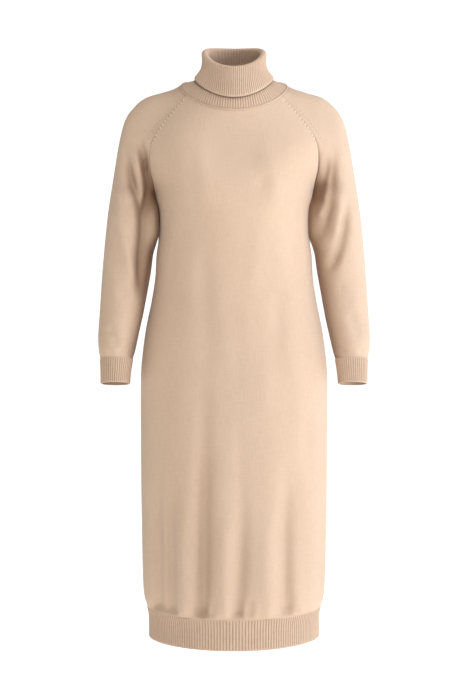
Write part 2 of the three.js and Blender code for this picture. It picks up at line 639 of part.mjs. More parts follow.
function collar(name, colour) {
  const seam = neckSeam(2 * COLLAR_RIBS);
  const seamPoint = (u) => {
    const place = (u - Math.floor(u)) * seam.length;
    const a = seam[Math.floor(place) % seam.length];
    const b = seam[(Math.floor(place) + 1) % seam.length];
    return a.p.clone().lerp(b.p, place % 1);
  };
  const base = collarSurface((step, u) => {
    const p = ringPoint(COLLAR_BASE, step, u);
    const toSeam = seamPoint(u).sub(ringPoint(COLLAR_BASE, 0, u));
    return p.addScaledVector(toSeam, (1 - step) ** 2);
  });
  const fold = collarSurface((step, u) => ringPoint(COLLAR_FOLD, step, u));

  // A ring at a depth below the surface: ribs stand out of every other column
  const ring = (surface, step, depth, columns, ribs) => {
    const points = [];
    for (let i = 0; i < columns; i += 1) {
      const rib = ribs && i % 2 === 0 ? RIB_HEIGHT : 0;
      const normal = surfaceNormal(surface, step, i / columns);
      points.push(surface.point(step, i / columns).addScaledVector(normal, rib - depth));
    }
    return [...points, points[0]];
  };
  // The rings at the neck seam stand square to the yoke
  const seamRing = (height, columns) => {
    const points = neckSeam(columns).map(({ p, n }) => p.clone().addScaledVector(n, height));
    return [...points, points[0]];
  };
  // The two layers part towards the soft roll
  const gap = (step) => {
    const parting = THREE.MathUtils.smoothstep(step, ROLL_START, 1);
    return THREE.MathUtils.lerp(COLLAR_FOLD_GAP, ROLL_GAP, parting);
  };
  // A ring round the roll: the turn is 0 on its outside, 90 on top and 180 on its inside
  const middle = COLLAR_CLOTH + ROLL_GAP / 2;
  const rollRing = (radius, turn, columns, ribs) => {
    const angle = THREE.MathUtils.degToRad(turn);
    const points = [];
    for (let i = 0; i < columns; i += 1) {
      const reach = radius + (ribs && i % 2 === 0 ? RIB_HEIGHT : 0);
      const u = i / columns;
      const top = fold.point(1, u);
      const up = top.clone().sub(fold.point(1 - COLLAR_STEP, u)).normalize();
      top.addScaledVector(surfaceNormal(fold, 1, u), reach * Math.cos(angle) - middle);
      points.push(top.addScaledVector(up, reach * Math.sin(angle)));
    }
    return [...points, points[0]];
  };

  const ribbed = 2 * COLLAR_RIBS;
  const plain = COLLAR_PLAIN_COLUMNS;
  const rings = [
    seamRing(RIDGE_HEIGHT, COLLAR_RIBS),
    ring(base, 0.08, -RIDGE_HEIGHT, COLLAR_RIBS, false),
    ...[0.12, 1].map((step) => ring(base, step, 0, ribbed, true)),
    ...[0.2, 0.34, 0.6, 1].map((step) => ring(fold, step, COLLAR_CLOTH + gap(step), plain, false)),
    rollRing(ROLL_GAP / 2, 90, plain, false),
    ...[1, 0.6, 0.34, 0.14, 0].map((step) => ring(fold, step, COLLAR_CLOTH, plain, false)),
    ...[0, 0.2, 0.5, 1].map((step) => ring(fold, step, 0, ribbed, true)),
    rollRing(middle, 50, ribbed, true),
    rollRing(middle, 90, plain, false),
    rollRing(middle, 135, plain, false),
    ...[1, 0.6, 0.34, 0.2].map((step) => ring(fold, step, 2 * COLLAR_CLOTH + gap(step), plain, false)),
    ...[1, 0.5].map((step) => ring(base, step, COLLAR_CLOTH, plain, false)),
    seamRing(-COLLAR_CLOTH, plain),
  ];
  const skin = new Skin();
  skin.bands([...rings, rings[0]]);
  return skin.mesh(name, colour);
}

const dress = new THREE.Group();
dress.add(panel(-1, 'front_panel', 0xe6cbb0));
dress.add(panel(1, 'back_panel', 0xe4c9ae));
dress.add(sleeve(1, 'sleeve_left', 0xe5caaf));
dress.add(sleeve(-1, 'sleeve_right', 0xe5caaf));
dress.add(cuff(1, 'cuff_left', 0xe0c4a8));
dress.add(cuff(-1, 'cuff_right', 0xe0c4a8));
dress.add(hemRib(-1, 'hem_rib_front', 0xe0c4a8));
dress.add(hemRib(1, 'hem_rib_back', 0xdfc3a7));
dress.add(collar('turtleneck_collar', 0xe2c7ac));

export default dress;
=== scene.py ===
import math

import bmesh
import bpy
import numpy as np
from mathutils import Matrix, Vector


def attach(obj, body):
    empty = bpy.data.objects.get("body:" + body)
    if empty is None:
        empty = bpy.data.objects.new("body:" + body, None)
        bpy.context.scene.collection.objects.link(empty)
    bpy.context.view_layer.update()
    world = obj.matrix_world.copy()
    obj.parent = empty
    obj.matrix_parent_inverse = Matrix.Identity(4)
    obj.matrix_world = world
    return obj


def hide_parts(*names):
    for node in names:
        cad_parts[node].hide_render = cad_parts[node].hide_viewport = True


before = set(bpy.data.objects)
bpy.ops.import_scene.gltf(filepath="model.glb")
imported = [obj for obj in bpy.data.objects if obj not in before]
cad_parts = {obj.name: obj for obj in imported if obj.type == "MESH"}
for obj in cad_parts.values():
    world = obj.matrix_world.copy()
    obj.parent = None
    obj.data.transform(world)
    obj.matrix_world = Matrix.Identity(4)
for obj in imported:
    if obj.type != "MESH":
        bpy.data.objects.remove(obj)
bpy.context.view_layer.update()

MM = 0.001

# Levels of the seams and edges
NECK_LEVEL = 0
ARMPIT_LEVEL = -229
HEM_SEAM_LEVEL = -1092
HEM_LEVEL = -1155
CUFF_SEAM_LEVEL = -566
CUFF_LEVEL = -617

# Thickness of the cloth, and how far the ribs, the welts along their edges and the linked ridge at
# the neck stand out of it
CLOTH = 2.0
RIB_HEIGHT = 1.2
WELT_HEIGHT = 0.9
RIDGE_HEIGHT = 1.9

# The collar: its cloth, the gap between its layers low down and in the roll, the outer radius of the
# roll, the step from which the layers part, and how far back its sides lie
COLLAR_CLOTH = 2.4
COLLAR_FOLD_GAP = 2.2
ROLL_GAP = 6.6
ROLL_RADIUS = COLLAR_CLOTH + ROLL_GAP / 2
ROLL_START = 0.34
COLLAR_SIDE_Y = 3

# How full a body row is between its centre and its edge, and how far half a loop round the arm bulges
# for each millimetre of the handles of its curve
BODY_FULLNESS = 1.04
HALF_LOOP_BULGE = 0.75

# Differences in level over which folds fade out below the neck and above the hem and cuffs, the share
# of a sleeve row over which they fade out beside the raglan, and the powers with which they fade out
# towards the edge of the body and the outside of the arm
NECK_CALM = 35
HEM_CALM = 12
CUFF_CALM = 14
SEAM_CALM = 0.035
BODY_EDGE_POWER = 8
SLEEVE_EDGE_POWER = 6

# Difference in level over which sleeve rows at the armpit are eased into one another, and how far from
# the armpit this reaches
ARMPIT_EASE = 20
ARMPIT_REACH = 30

# Stitches: a wale is one column of loops and a course one row
WALE = 1.85
COURSE = 1.35
WALES_A_RIB = 3

# Ribs on each face of the hem and of a cuff, and round the collar, the columns of points to a rib, and
# the power that fills out its crown
HEM_RIBS_A_FACE = 94
CUFF_RIBS_A_FACE = 21
COLLAR_RIBS = 100
COLUMNS_A_RIB = 8
RIB_POWER = 0.8

# Fashioning marks along the raglans: their distance apart, their slant from the seam in degrees, the
# points along and round one, the levels that they lie between and how many are read there, their
# length, width and height, and how far in they lie as a share of the half row. Between them are
# eyelets, raised dark spindles that are painted shade standing for the holes: how far along the
# first one is, their share of a mark's size, and their height.
MARK_PITCH = 8.7
MARK_TURN = 58
MARK_STATIONS = 9
MARK_SIDES = 8
MARK_LEVELS = (-140, -4)
MARK_READINGS = 90
BODY_MARK = (9.0, 2.7, 1.2)
BODY_MARK_INSET = 0.02
SLEEVE_MARK = (4.5, 2.0, 0.8)
SLEEVE_MARK_INSET = 0.1
EYELET_START = 1.5 * MARK_PITCH
EYELET_SHARE = 0.55
EYELET_HEIGHT = 0.2

# Grooves at the seams: deep where pieces are linked edge to edge, less so below the neck ridge, and
# shallow above and below the ribs
GROOVE_WIDTH = 1.5
LINKED_GROOVE = 0.5
NECK_GROOVE = 0.3
RIB_GROOVE = 0.12

# Distances from the seam and from the plain edge between which ribs rise, and the welt goes down
RIBS_FROM_SEAM = (-0.5, 2.5)
RIBS_FROM_EDGE = (1.0, 2.6)
WELT_FADE = (1.4, 2.8)

# Rows of points: close ones beside seams and plain edges, at these distances from them, and even ones
# between, whose pitches are those below and above the armpit
SEAM_ROWS = np.array([0, 1.2, 2.6])
EVEN_ROWS_START = 4.5
EVEN_ROWS_END = 4
BODY_PITCHES = (4.6, 4.2)
SLEEVE_PITCHES = (4.4, 4.0)
RIB_SEAM_ROWS = np.array([4, 2.4, 1.2, 0])
RIB_EDGE_ROWS = np.array([0, 0.8, 1.8, 2.8, 3.8])
RIB_ROWS_START = 7
RIB_PITCH = 6

# Places of points along a half row, closer beside the linked edges
BODY_PLACES = np.append(np.linspace(0, 0.985, 62), [0.992, 0.9965, 1])
SLEEVE_PLACES = np.append([0, 0.006, 0.014], np.linspace(0.03, 1, 34))

# Steps over which slopes are taken: in level, in place along a row, and between the collar's rings
LEVEL_STEP = 0.5
PLACE_STEP = 0.002
RING_STEP = 0.01
# Angle in degrees from which an edge looks sharp
SHARP_ANGLE = 50


def table(columns, *rows):
    """A table with named columns, as one array for each."""
    return dict(zip(columns.split(), np.array(rows, float).T))


# Centre lines of the two faces
FRONT_CENTRE = table(
    "level depth z",
    (-1155, 125, -1161),
    (-1110, 120, -1116),
    (-1092, 121, -1098),
    (-1070, 127, -1074),
    (-1030, 128, -1032),
    (-900, 121, -900),
    (-750, 117, -750),
    (-600, 112, -600),
    (-500, 108, -500),
    (-430, 108, -430),
    (-360, 113, -360),
    (-290, 121, -290),
    (-229, 125, -229),
    (-180, 121, -192),
    (-120, 111, -148),
    (-60, 98, -103),
    (0, 85, -58),
)
BACK_CENTRE = table(
    "level depth z",
    (-1155, 124, -1155),
    (-1110, 118, -1110),
    (-1092, 120, -1092),
    (-1070, 126, -1070),
    (-1030, 127, -1030),
    (-900, 129, -900),
    (-750, 134, -750),
    (-680, 135, -680),
    (-620, 130, -620),
    (-560, 119, -560),
    (-500, 107, -500),
    (-430, 100, -430),
    (-360, 101, -360),
    (-290, 106, -290),
    (-229, 110, -229),
    (-180, 113, -170),
    (-120, 112, -104),
    (-60, 102, -36),
    (0, 79, 14),
)

# Half width at the side seams, below the armpit
SIDE_SEAM = table(
    "level x",
    (-1155, 179.5),
    (-1110, 180),
    (-1092, 183.5),
    (-1075, 189),
    (-1050, 192),
    (-1000, 193.5),
    (-900, 195),
    (-750, 196),
    (-600, 195.5),
    (-550, 191),
    (-500, 183.5),
    (-450, 173),
    (-399, 165),
    (-350, 162),
    (-315, 157),
    (-262, 156.5),
    (-229, 163),
)

# Raglan seams. The turns are the directions, in degrees from the shoulder-to-shoulder line, in which
# the body reaches the seam and the sleeve leaves it. The rise is the row's slope there.
FRONT_RAGLAN = table(
    "level x depth z body_turn sleeve_turn fullness rise",
    (-229, 163, 0, -229, 90, -90, 1.19, 0),
    (-205, 167, 30, -204, 70, -55, 1.15, 0),
    (-175, 173, 52, -170, 55, -15, 1.1, 0.1),
    (-145, 172, 62, -134, 48, 20, 1.05, 0.25),
    (-115, 163, 63, -106, 46, 38, 1, 0.35),
    (-80, 145, 58, -78, 47, 46, 1, 0.42),
    (-40, 122, 49, -50, 50, 50, 1, 0.46),
    (0, 99.5, 39, -24, 55, 55, 1, 0.52),
)
BACK_RAGLAN = table(
    "level x depth z body_turn sleeve_turn fullness rise",
    (-229, 163, 0, -229, 90, -90, 1.19, 0),
    (-205, 167, 33, -202, 70, -55, 1.15, 0),
    (-175, 172, 56, -162, 55, -15, 1.1, 0.1),
    (-145, 170, 66, -121, 48, 20, 1.05, 0.25),
    (-115, 161, 67, -82, 46, 38, 1, 0.3),
    (-80, 144, 61, -44, 47, 46, 1, 0.25),
    (-40, 120, 50, -14, 50, 50, 1, 0.05),
    (0, 99.5, 38, 9, 52, 52, 1, -0.17),
)

# Top of the shoulder and outside of the upper arm, above the armpit
SHOULDER_LINE = table(
    "level x y z rise",
    (-229, 258, 0, -229, 0),
    (-205, 250, 2, -180, 0),
    (-175, 240, 4, -122, 0),
    (-145, 228, 5, -74, 0),
    (-115, 211, 6, -47, 0),
    (-80, 186, 6, -25.5, 0),
    (-40, 148, 5, -13.5, 0.04),
    (0, 112.5, 2, -2.5, 0.42),
)

# Sleeve tube below the armpit: its inside and outside edges, its axis, half its depth, and the slope
# that squares its rows to the forearm
SLEEVE_TUBE = table(
    "level inner outer y depth tilt",
    (-617, 216.5, 275.5, -51, 29, 0.2),
    (-592, 214, 276, -48, 29.5, 0.2),
    (-566, 210, 277.5, -44, 32, 0.2),
    (-548, 205.5, 280.5, -41, 38, 0.17),
    (-522, 199.5, 282, -37, 41, 0.13),
    (-475, 189, 279.5, -28, 44, 0.06),
    (-424, 179.5, 276.5, -20, 47, 0.02),
    (-386, 173, 274, -16, 49, 0),
    (-349, 168, 271, -14, 51, 0),
    (-322, 160, 268.5, -14, 52, 0),
    (-298, 156.6, 266, -14, 53, 0),
    (-262, 157.2, 262, -12, 54, 0),
    (-229, 163, 258, 0, 56, 0),
)


def fold_table(*rows):
    """Soft folds, seen from the front or the back: a line between two ends, bowed sideways at its
    middle, with its half width and its height, which is negative in a trough. The last two columns
    are the shares of the line over which it fades in from its first end and out to its second."""
    return table("x0 z0 x1 z1 bow width height fade_in fade_out", *rows)


def both_sides(*rows):
    """The same folds on the left and on the right."""
    mirrored = [(-x0, z0, -x1, z1, -bow, *shape) for x0, z0, x1, z1, bow, *shape in rows]
    return [*rows, *mirrored]


# In each table the broad folds come first, then those alike on both sides, and last the finer
# creases and the small gathers that the rib draws in
FRONT_FOLDS = fold_table(
    (-63, -600, -65, -1120, 2, 16, -15, 0.8, 0),
    (-62, -330, -60, -760, 3, 20, -4, 0.3, 0.5),
    (-134, -760, -132, -1110, 0, 15, -11, 0.7, 0),
    (-162, -760, -160, -1110, 0, 13, -11, 0.6, 0),
    (21, -740, 6, -1110, 2, 16, -10, 0.8, 0),
    (108, -700, 109, -1110, -2, 16, -11, 0.8, 0),
    (-108, -850, -106, -1100, 0, 15, 4, 0.3, 0),
    (-20, -870, -22, -1100, 0, 15, 3.6, 0.3, 0),
    (68, -860, 66, -1100, 0, 18, 3.8, 0.3, 0),
    (160, -900, 162, -1100, 0, 14, 2.5, 0.3, 0),
    (92, -380, 90, -560, 0, 18, -3, 0.4, 0.4),
    *both_sides((78, -190, 80, -225, 0, 52, 8, 0, 0)),
    (-79, -1045, -80, -1100, 1, 5, -2.2, 0.7, 0),
    (-69, -1050, -68, -1100, 0, 4, -1.6, 0.7, 0),
    (-53, -1050, -52, -1100, 0, 5, 2.2, 0.7, 0),
    (-40, -1040, -46, -1098, 2, 4.5, -2.4, 0.7, 0),
    (-16, -1030, -15, -1098, 0, 7, 1.8, 0.8, 0),
    (8, -1040, 15, -1100, 0, 5, -2.2, 0.7, 0),
    (20, -1050, 21, -1100, 0, 3.5, 1.6, 0.7, 0),
    (38, -1030, 32, -1100, -1, 5, -2.4, 0.7, 0),
    (46, -1045, 45, -1100, 0, 5, 1.8, 0.7, 0),
    (72, -1040, 70, -1100, 0, 6, 1.4, 0.8, 0),
    (121, -1030, 116, -1098, 0, 6, -2, 0.8, 0),
    (138, -1050, 140, -1096, 0, 5, 1.4, 0.8, 0),
    (-90, -1055, -91, -1098, 0, 4, -1.2, 0.7, 0),
    (-102, -1050, -101, -1098, 0, 5, 1.5, 0.7, 0),
    (-123, -1050, -121, -1098, 0, 5, -1.6, 0.7, 0),
    (-137, -1045, -137, -1098, 0, 5, 1.4, 0.7, 0),
    (-60, -600, -66, -900, 4, 16, -1.8, 0.5, 0.3),
    (12, -420, 14, -900, -4, 14, -1.2, 0.4, 0.3),
    (-104, -520, -108, -900, 0, 18, 1.4, 0.4, 0.3),
    (62, -520, 68, -880, 3, 18, 1.4, 0.4, 0.3),
    (124, -300, 132, -420, -5, 12, -1.8, 0.4, 0.4),
    (-126, -290, -138, -430, 6, 12, -2, 0.4, 0.4),
    (150, -640, 158, -880, 0, 12, -1.6, 0.4, 0.4),
    (-148, -620, -156, -900, 0, 12, -1.6, 0.4, 0.4),
    (62, -160, 58, -250, 0, 16, -4, 0.5, 0.5),
)
BACK_FOLDS = fold_table(
    (60, -900, 64, -1120, 2, 15, -5, 0, 0),
    (-34, -860, -28, -1115, 0, 15, -4, 0, 0),
    (134, -920, 130, -1110, 0, 13, -3.5, 0, 0),
    (-118, -880, -122, -1110, 0, 14, -4, 0, 0),
    (14, -870, 18, -1100, 0, 17, 3, 0, 0),
    (-76, -890, -74, -1100, 0, 16, 3.5, 0, 0),
    (100, -870, 98, -1100, 0, 16, 3, 0, 0),
    (-95, -395, 90, -405, -14, 16, -3, 0, 0),
    *both_sides(
        (85, -110, 80, -150, 0, 45, 4, 0, 0),
        (75, -640, 75, -670, 0, 60, 5, 0, 0),
        (157, -232, 158, -345, 0, 14, 6, 0.3, 0.3),
        (118, -250, 132, -400, 5, 12, -2.2, 0.4, 0.4),
        (140, -640, 150, -880, 0, 13, -1.6, 0.4, 0.4),
    ),
    (80, -1045, 82, -1100, 1, 5, -2.2, 0.7, 0),
    (66, -1050, 65, -1100, 0, 5, 1.8, 0.7, 0),
    (44, -1040, 50, -1098, -2, 5, -2, 0.7, 0),
    (20, -1035, 19, -1098, 0, 6, 1.7, 0.8, 0),
    (-8, -1040, -12, -1100, 0, 5, -2.2, 0.7, 0),
    (-24, -1050, -25, -1100, 0, 4, 1.5, 0.7, 0),
    (-44, -1035, -38, -1100, 1, 5, -2.3, 0.7, 0),
    (-88, -1045, -90, -1100, 0, 5, -1.6, 0.7, 0),
    (-104, -1040, -102, -1100, 0, 6, 1.5, 0.8, 0),
    (-130, -1050, -127, -1098, 0, 5, -1.7, 0.8, 0),
    (104, -1050, 105, -1098, 0, 5, 1.4, 0.7, 0),
    (121, -1045, 119, -1098, 0, 5, -1.5, 0.7, 0),
    (50, -620, 58, -900, -4, 18, -1.8, 0.5, 0.3),
    (-30, -700, -34, -900, 2, 16, -1.6, 0.5, 0.3),
    (-60, -330, 60, -338, -6, 12, -1.8, 0.3, 0.3),
    (-70, -440, 78, -452, -9, 13, -1.6, 0.3, 0.3),
)
FRONT_SLEEVE_FOLDS = fold_table(
    (194, -135, 163, -250, 6, 8, -7, 0.35, 0.2),
    (197, -200, 170, -280, 6, 8, 4, 0.2, 0.2),
    (207, -115, 174, -335, 6, 11, -8.5, 0.4, 0.3),
    (220, -225, 204, -330, 3, 9, 4, 0.25, 0.25),
    (232, -228, 188, -394, 14, 11, -9, 0.35, 0.25),
    (236, -465, 262, -525, 0, 12, -3.5, 0.3, 0.3),
    (-229, -118, -174, -280, -8, 9, -11, 0.4, 0.4),
    (-209, -118, -164, -285, 4, 8, 5, 0.25, 0.5),
    (-197, -98, -168, -300, 4, 8, -14, 0.4, 0.4),
    (-238, -180, -194, -420, -16, 12, 5, 0.2, 0.2),
    (-176, -200, -190, -450, -2, 14, -16, 0.3, 0.3),
    (-262, -495, -232, -540, 0, 11, -3.5, 0.3, 0.3),
    *both_sides(
        (161, -205, 162, -335, 0, 6, 5, 0.2, 0.25),
        (178, -229, 258, -229, 0, 17, 6, 0.15, 0.6),
    ),
    (250, -150, 255, -330, 8, 10, -1.4, 0.4, 0.4),
    (226, -180, 214, -250, 4, 8, 1.6, 0.4, 0.4),
    (210, -400, 226, -440, 3, 9, -1.6, 0.4, 0.4),
    (252, -420, 246, -470, 0, 10, 1.4, 0.4, 0.4),
    (222, -540, 230, -562, 0, 6, -1.4, 0.4, 0),
    (250, -538, 250, -562, 0, 6, 1.4, 0.5, 0),
    (262, -540, 262, -562, 0, 5, -1.2, 0.5, 0),
    (-254, -150, -258, -330, -8, 10, -1.4, 0.4, 0.4),
    (-203, -215, -178, -300, -6, 8, -2, 0.4, 0.4),
    (-216, -420, -230, -450, -3, 9, -1.6, 0.4, 0.4),
    (-250, -400, -242, -465, 0, 10, 1.4, 0.4, 0.4),
    (-226, -540, -230, -562, 0, 6, -1.4, 0.4, 0),
    (-246, -538, -246, -562, 0, 6, 1.4, 0.5, 0),
)
BACK_SLEEVE_FOLDS = fold_table(
    (200, -140, 165, -250, 8, 12, -5, 0, 0),
    (205, -362, 262, -388, -6, 14, -4, 0, 0),
    (208, -412, 264, -425, -4, 12, -3.5, 0, 0),
    (216, -500, 268, -515, 0, 11, -3, 0, 0),
    (-206, -135, -166, -248, -8, 12, -5, 0, 0),
    (-203, -370, -264, -380, 5, 13, -4, 0, 0),
    (-212, -430, -266, -448, 4, 12, -3, 0, 0),
    (-218, -508, -266, -500, 0, 11, -3, 0, 0),
    (210, -160, 180, -300, 10, 9, 2.6, 0.4, 0.4),
    (228, -170, 205, -320, 12, 9, -2.4, 0.4, 0.4),
    (214, -386, 262, -404, -5, 8, 2, 0.3, 0.3),
    (232, -540, 234, -562, 0, 6, -1.4, 0.4, 0),
    (258, -540, 258, -562, 0, 6, -1.2, 0.5, 0),
    (-212, -160, -182, -300, -10, 9, 2.6, 0.4, 0.4),
    (-228, -170, -206, -330, -12, 9, -2.4, 0.4, 0.4),
    (-214, -398, -262, -412, 5, 8, 2, 0.3, 0.3),
    (-232, -540, -234, -562, 0, 6, -1.4, 0.4, 0),
)

# Collar rings, where they cross the centre front, the sides and the centre back. The base climbs
# from the neck seam, and the turned-down layer from its lower edge to the roll.
# A ring's squeeze brings its ribs closer at the front and back than at the sides.
RING_COLUMNS = "step front_y front_z side_x side_z back_y back_z squeeze"
NECK_SQUEEZE = 0.15
COLLAR_BASE = table(
    RING_COLUMNS,
    (0, -85, -58, 112.5, -2.5, 79, 14, NECK_SQUEEZE),
    (0.5, -80, -39, 95.5, 3, 79, 17.5, 0.13),
    (1, -75.5, -22, 80.5, 9.5, 78.5, 22, 0.08),
)
COLLAR_FOLD = table(
    RING_COLUMNS,
    (0, -83, -28.5, 82.5, 16.5, 85.5, 14, 0.12),
    (0.14, -79, -17, 75.5, 24.5, 84, 24, 0.08),
    (0.34, -74, -2, 68.5, 35.5, 82, 38, 0.03),
    (0.6, -68.5, 14, 65.5, 49.5, 80.5, 58, 0),
    (1, -64.5, 30.5, 66.5, 66, 79.5, 80, 0),
)

# Slow unevenness of the hanging cloth: wave lengths across and down, a phase and a height. The waves
# bend a little, and are shifted on the back.
UNEVENNESS = table(
    "across down phase height",
    (95, 610, 0.4, 0.55),
    (61, 420, 2.1, 0.4),
    (140, 260, 4.0, 0.5),
    (43, 330, 5.2, 0.22),
)
WAVE_BEND = 0.8
WAVE_SHIFT = 1.7


def read(rows, at):
    """Every column of a table at the levels or steps given, on a smooth curve through its rows."""
    keys = next(iter(rows.values()))
    at = np.asarray(at, float)
    b = np.clip(np.searchsorted(keys, at, side="right"), 1, len(keys) - 1)
    a = b - 1
    before = np.maximum(a - 1, 0)
    after = np.minimum(b + 1, len(keys) - 1)
    span = keys[b] - keys[a]
    f = (at - keys[a]) / span
    rest = 1 - f
    result = {}
    for name, column in rows.items():
        slope_a = (column[b] - column[before]) / (keys[b] - keys[before]) * span
        slope_b = (column[after] - column[a]) / (keys[after] - keys[a]) * span
        result[name] = (
            (1 + 2 * f) * rest * rest * column[a]
            + f * rest * rest * slope_a
            + f * f * (3 - 2 * f) * column[b]
            - f * f * rest * slope_b
        )
    return result


def points(x, y, z):
    return np.stack(np.broadcast_arrays(x, y, z), axis=-1).astype(float)


def unit(vectors):
    return vectors / np.linalg.norm(vectors, axis=-1, keepdims=True)


def dot(a, b):
    return (a * b).sum(axis=-1, keepdims=True)


def smoothstep(value, low, high):
    f = np.clip((value - low) / (high - low), 0, 1)
    return f * f * (3 - 2 * f)


def cubic(p0, p1, p2, p3, t):
    t = np.asarray(t)[..., None]
    r = 1 - t
    return r**3 * p0 + 3 * r * r * t * p1 + 3 * r * t * t * p2 + t**3 * p3


def heading(degrees, rise):
    """Direction of a row in its own face: across, towards the side seams' plane, and up."""
    angle = np.radians(degrees)
    return points(np.cos(angle), -np.sin(angle), rise)


def lay_out(p, side, face):
    """Points of a row's own face in the frame of the dress."""
    return p * np.array([side, face, 1.0])


def body_edge(face, level):
    """Edge of a body row: the side seam below the armpit, the raglan above it."""
    edge = read(RAGLANS[face], np.maximum(level, ARMPIT_LEVEL))
    below = level < ARMPIT_LEVEL
    edge["x"] = np.where(below, read(SIDE_SEAM, np.minimum(level, ARMPIT_LEVEL))["x"], edge["x"])
    edge["depth"] = np.where(below, 0, edge["depth"])
    edge["z"] = np.where(below, level, edge["z"])
    edge["body_turn"] = np.where(below, 90, edge["body_turn"])
    edge["rise"] = np.where(below, 0, edge["rise"])
    return edge


def plain_body_point(side, face, level, t):
    """Point of a body row before its folds: t is 0 at the centre of the face and 1 at its edge."""
    centre = read(CENTRES[face], level)
    edge = body_edge(face, level)
    start = points(0, centre["depth"], centre["z"])
    end = points(edge["x"], edge["depth"], edge["z"])
    out = heading(0, 0)
    turn = heading(edge["body_turn"], edge["rise"])
    flat = np.array([1.0, 1.0, 0.0])
    chord = (end - start) * flat
    angle = np.radians(edge["body_turn"])
    reach = (BODY_FULLNESS / (3 * np.cos(angle / 4) ** 2 * np.cos(angle / 2)))[..., None]
    first = start + reach * dot(chord, out) * out
    second = end - reach * dot(chord, turn * flat) * turn
    return lay_out(cubic(start, first, second, end, t), side, face)


def tube_point(side, face, level, t):
    """Point of a sleeve row up to the armpit: t is 0 inside the arm and 1 outside it."""
    tube = read(SLEEVE_TUBE, level)
    handle = points(0, tube["depth"] / HALF_LOOP_BULGE, 0)
    inside = points(tube["inner"], face * tube["y"], level)
    outside = points(tube["outer"], face * tube["y"], level)
    p = lay_out(cubic(inside, inside + handle, outside + handle, outside, t), side, face)
    p[..., 2] += (tube["y"] - p[..., 1]) * tube["tilt"]
    return p


def yoke_point(side, face, level, t):
    """Point of a sleeve row above the armpit: t is 0 at the raglan and 1 on top of the shoulder."""
    seam = read(RAGLANS[face], level)
    top = read(SHOULDER_LINE, level)
    start = points(seam["x"], seam["depth"], seam["z"])
    end = points(top["x"], face * top["y"], top["z"])
    leave = heading(seam["sleeve_turn"], seam["rise"])
    arrive = heading(90, -face * top["rise"])
    angle = np.radians(90 - seam["sleeve_turn"])[..., None]
    length = np.linalg.norm(end - start, axis=-1, keepdims=True)
    reach = seam["fullness"][..., None] * length / (3 * np.cos(angle / 4) ** 2)
    return lay_out(cubic(start, start + reach * leave, end - reach * arrive, end, t), side, face)


def joined_sleeve_point(side, face, level, t):
    below = tube_point(side, face, np.minimum(level, ARMPIT_LEVEL), t)
    above = yoke_point(side, face, np.maximum(level, ARMPIT_LEVEL), t)
    return np.where((level < ARMPIT_LEVEL)[..., None], below, above)


def plain_sleeve_point(side, face, level, t):
    """Point of a sleeve row before its folds: rows near the armpit are eased into one another, so
    that the tube runs into the yoke without a crease."""
    nearness = np.exp(-(((level - ARMPIT_LEVEL) / ARMPIT_REACH) ** 2))
    reach = ARMPIT_EASE * nearness * smoothstep(t, 0, 2 * SEAM_CALM)
    lower, middle, upper = (
        joined_sleeve_point(side, face, np.minimum(level + way * reach, NECK_LEVEL), t)
        for way in (-1, 0, 1)
    )
    return (lower + 2 * middle + upper) / 4


def fold_height(folds, x, z):
    """Height of the folds at places seen along Y."""
    height = np.zeros_like(x)
    for x0, z0, x1, z1, bow, width, tall, fade_in, fade_out in zip(*folds.values()):
        length = math.hypot(x1 - x0, z1 - z0)
        ax, az = (x1 - x0) / length, (z1 - z0) / length
        place = np.clip(((x - x0) * ax + (z - z0) * az) / length, 0, 1)
        bend = bow * 4 * place * (1 - place)
        across_x = x - x0 - place * length * ax + bend * az
        across_z = z - z0 - place * length * az - bend * ax
        shape = np.exp(-(across_x**2 + across_z**2) / width**2)
        if fade_in > 0:
            shape = shape * smoothstep(place, 0, fade_in)
        if fade_out > 0:
            shape = shape * smoothstep(1 - place, 0, fade_out)
        height += tall * shape
    return height


def unevenness(x, z, seed):
    height = np.zeros_like(x)
    for across, down, phase, tall in zip(*UNEVENNESS.values()):
        wave_x = 2 * math.pi * x / across + phase + seed
        wave_z = 2 * math.pi * z / down + WAVE_SHIFT * phase * seed
        height += tall * np.sin(wave_x + WAVE_BEND * np.sin(wave_z)) * np.cos(wave_z)
    return height


class Surface:
    """A smooth sheet. Its outward direction comes from its slopes over a small step up its rows and
    along its places, and its way is -1 where its places run the other way round the dress."""

    def __init__(self, point, row_step, place_step, last_row, places, way):
        self.point = point
        self.row_step = row_step
        self.place_step = place_step
        self.last_row = last_row
        self.places = places
        self.way = way

    def normal(self, row, place):
        low = np.maximum(place - self.place_step, self.places[0])
        high = np.minimum(place + self.place_step, self.places[1])
        along = self.point(row, high) - self.point(row, low)
        above = self.point(np.minimum(row + self.row_step, self.last_row), place)
        up = above - self.point(row - self.row_step, place)
        return unit(np.cross(along, up)) * self.way


def cloth_surface(side, face, point):
    return Surface(point, LEVEL_STEP, PLACE_STEP, NECK_LEVEL, (0, 1), -side * face)


def folded_surface(side, face, plain_point, folds, calm):
    """A cloth surface with its folds: calm is how far they show, from 0 to 1."""
    plain = cloth_surface(side, face, lambda level, t: plain_point(side, face, level, t))

    def point(level, t):
        p = plain.point(level, t)
        x, z = p[..., 0], p[..., 2]
        height = unevenness(x, z, face) + fold_height(folds, x, z)
        return p + plain.normal(level, t) * (height * calm(level, t))[..., None]

    return cloth_surface(side, face, point)


def body_calm(level, t):
    hem_calm = smoothstep(level, HEM_SEAM_LEVEL, HEM_SEAM_LEVEL + HEM_CALM)
    neck_calm = smoothstep(NECK_LEVEL - level, 0, NECK_CALM)
    return hem_calm * neck_calm * (1 - t**BODY_EDGE_POWER)


def sleeve_calm(level, t):
    cuff_calm = smoothstep(level, CUFF_SEAM_LEVEL, CUFF_SEAM_LEVEL + CUFF_CALM)
    return cuff_calm * smoothstep(t, 0, SEAM_CALM) * (1 - t**SLEEVE_EDGE_POWER)


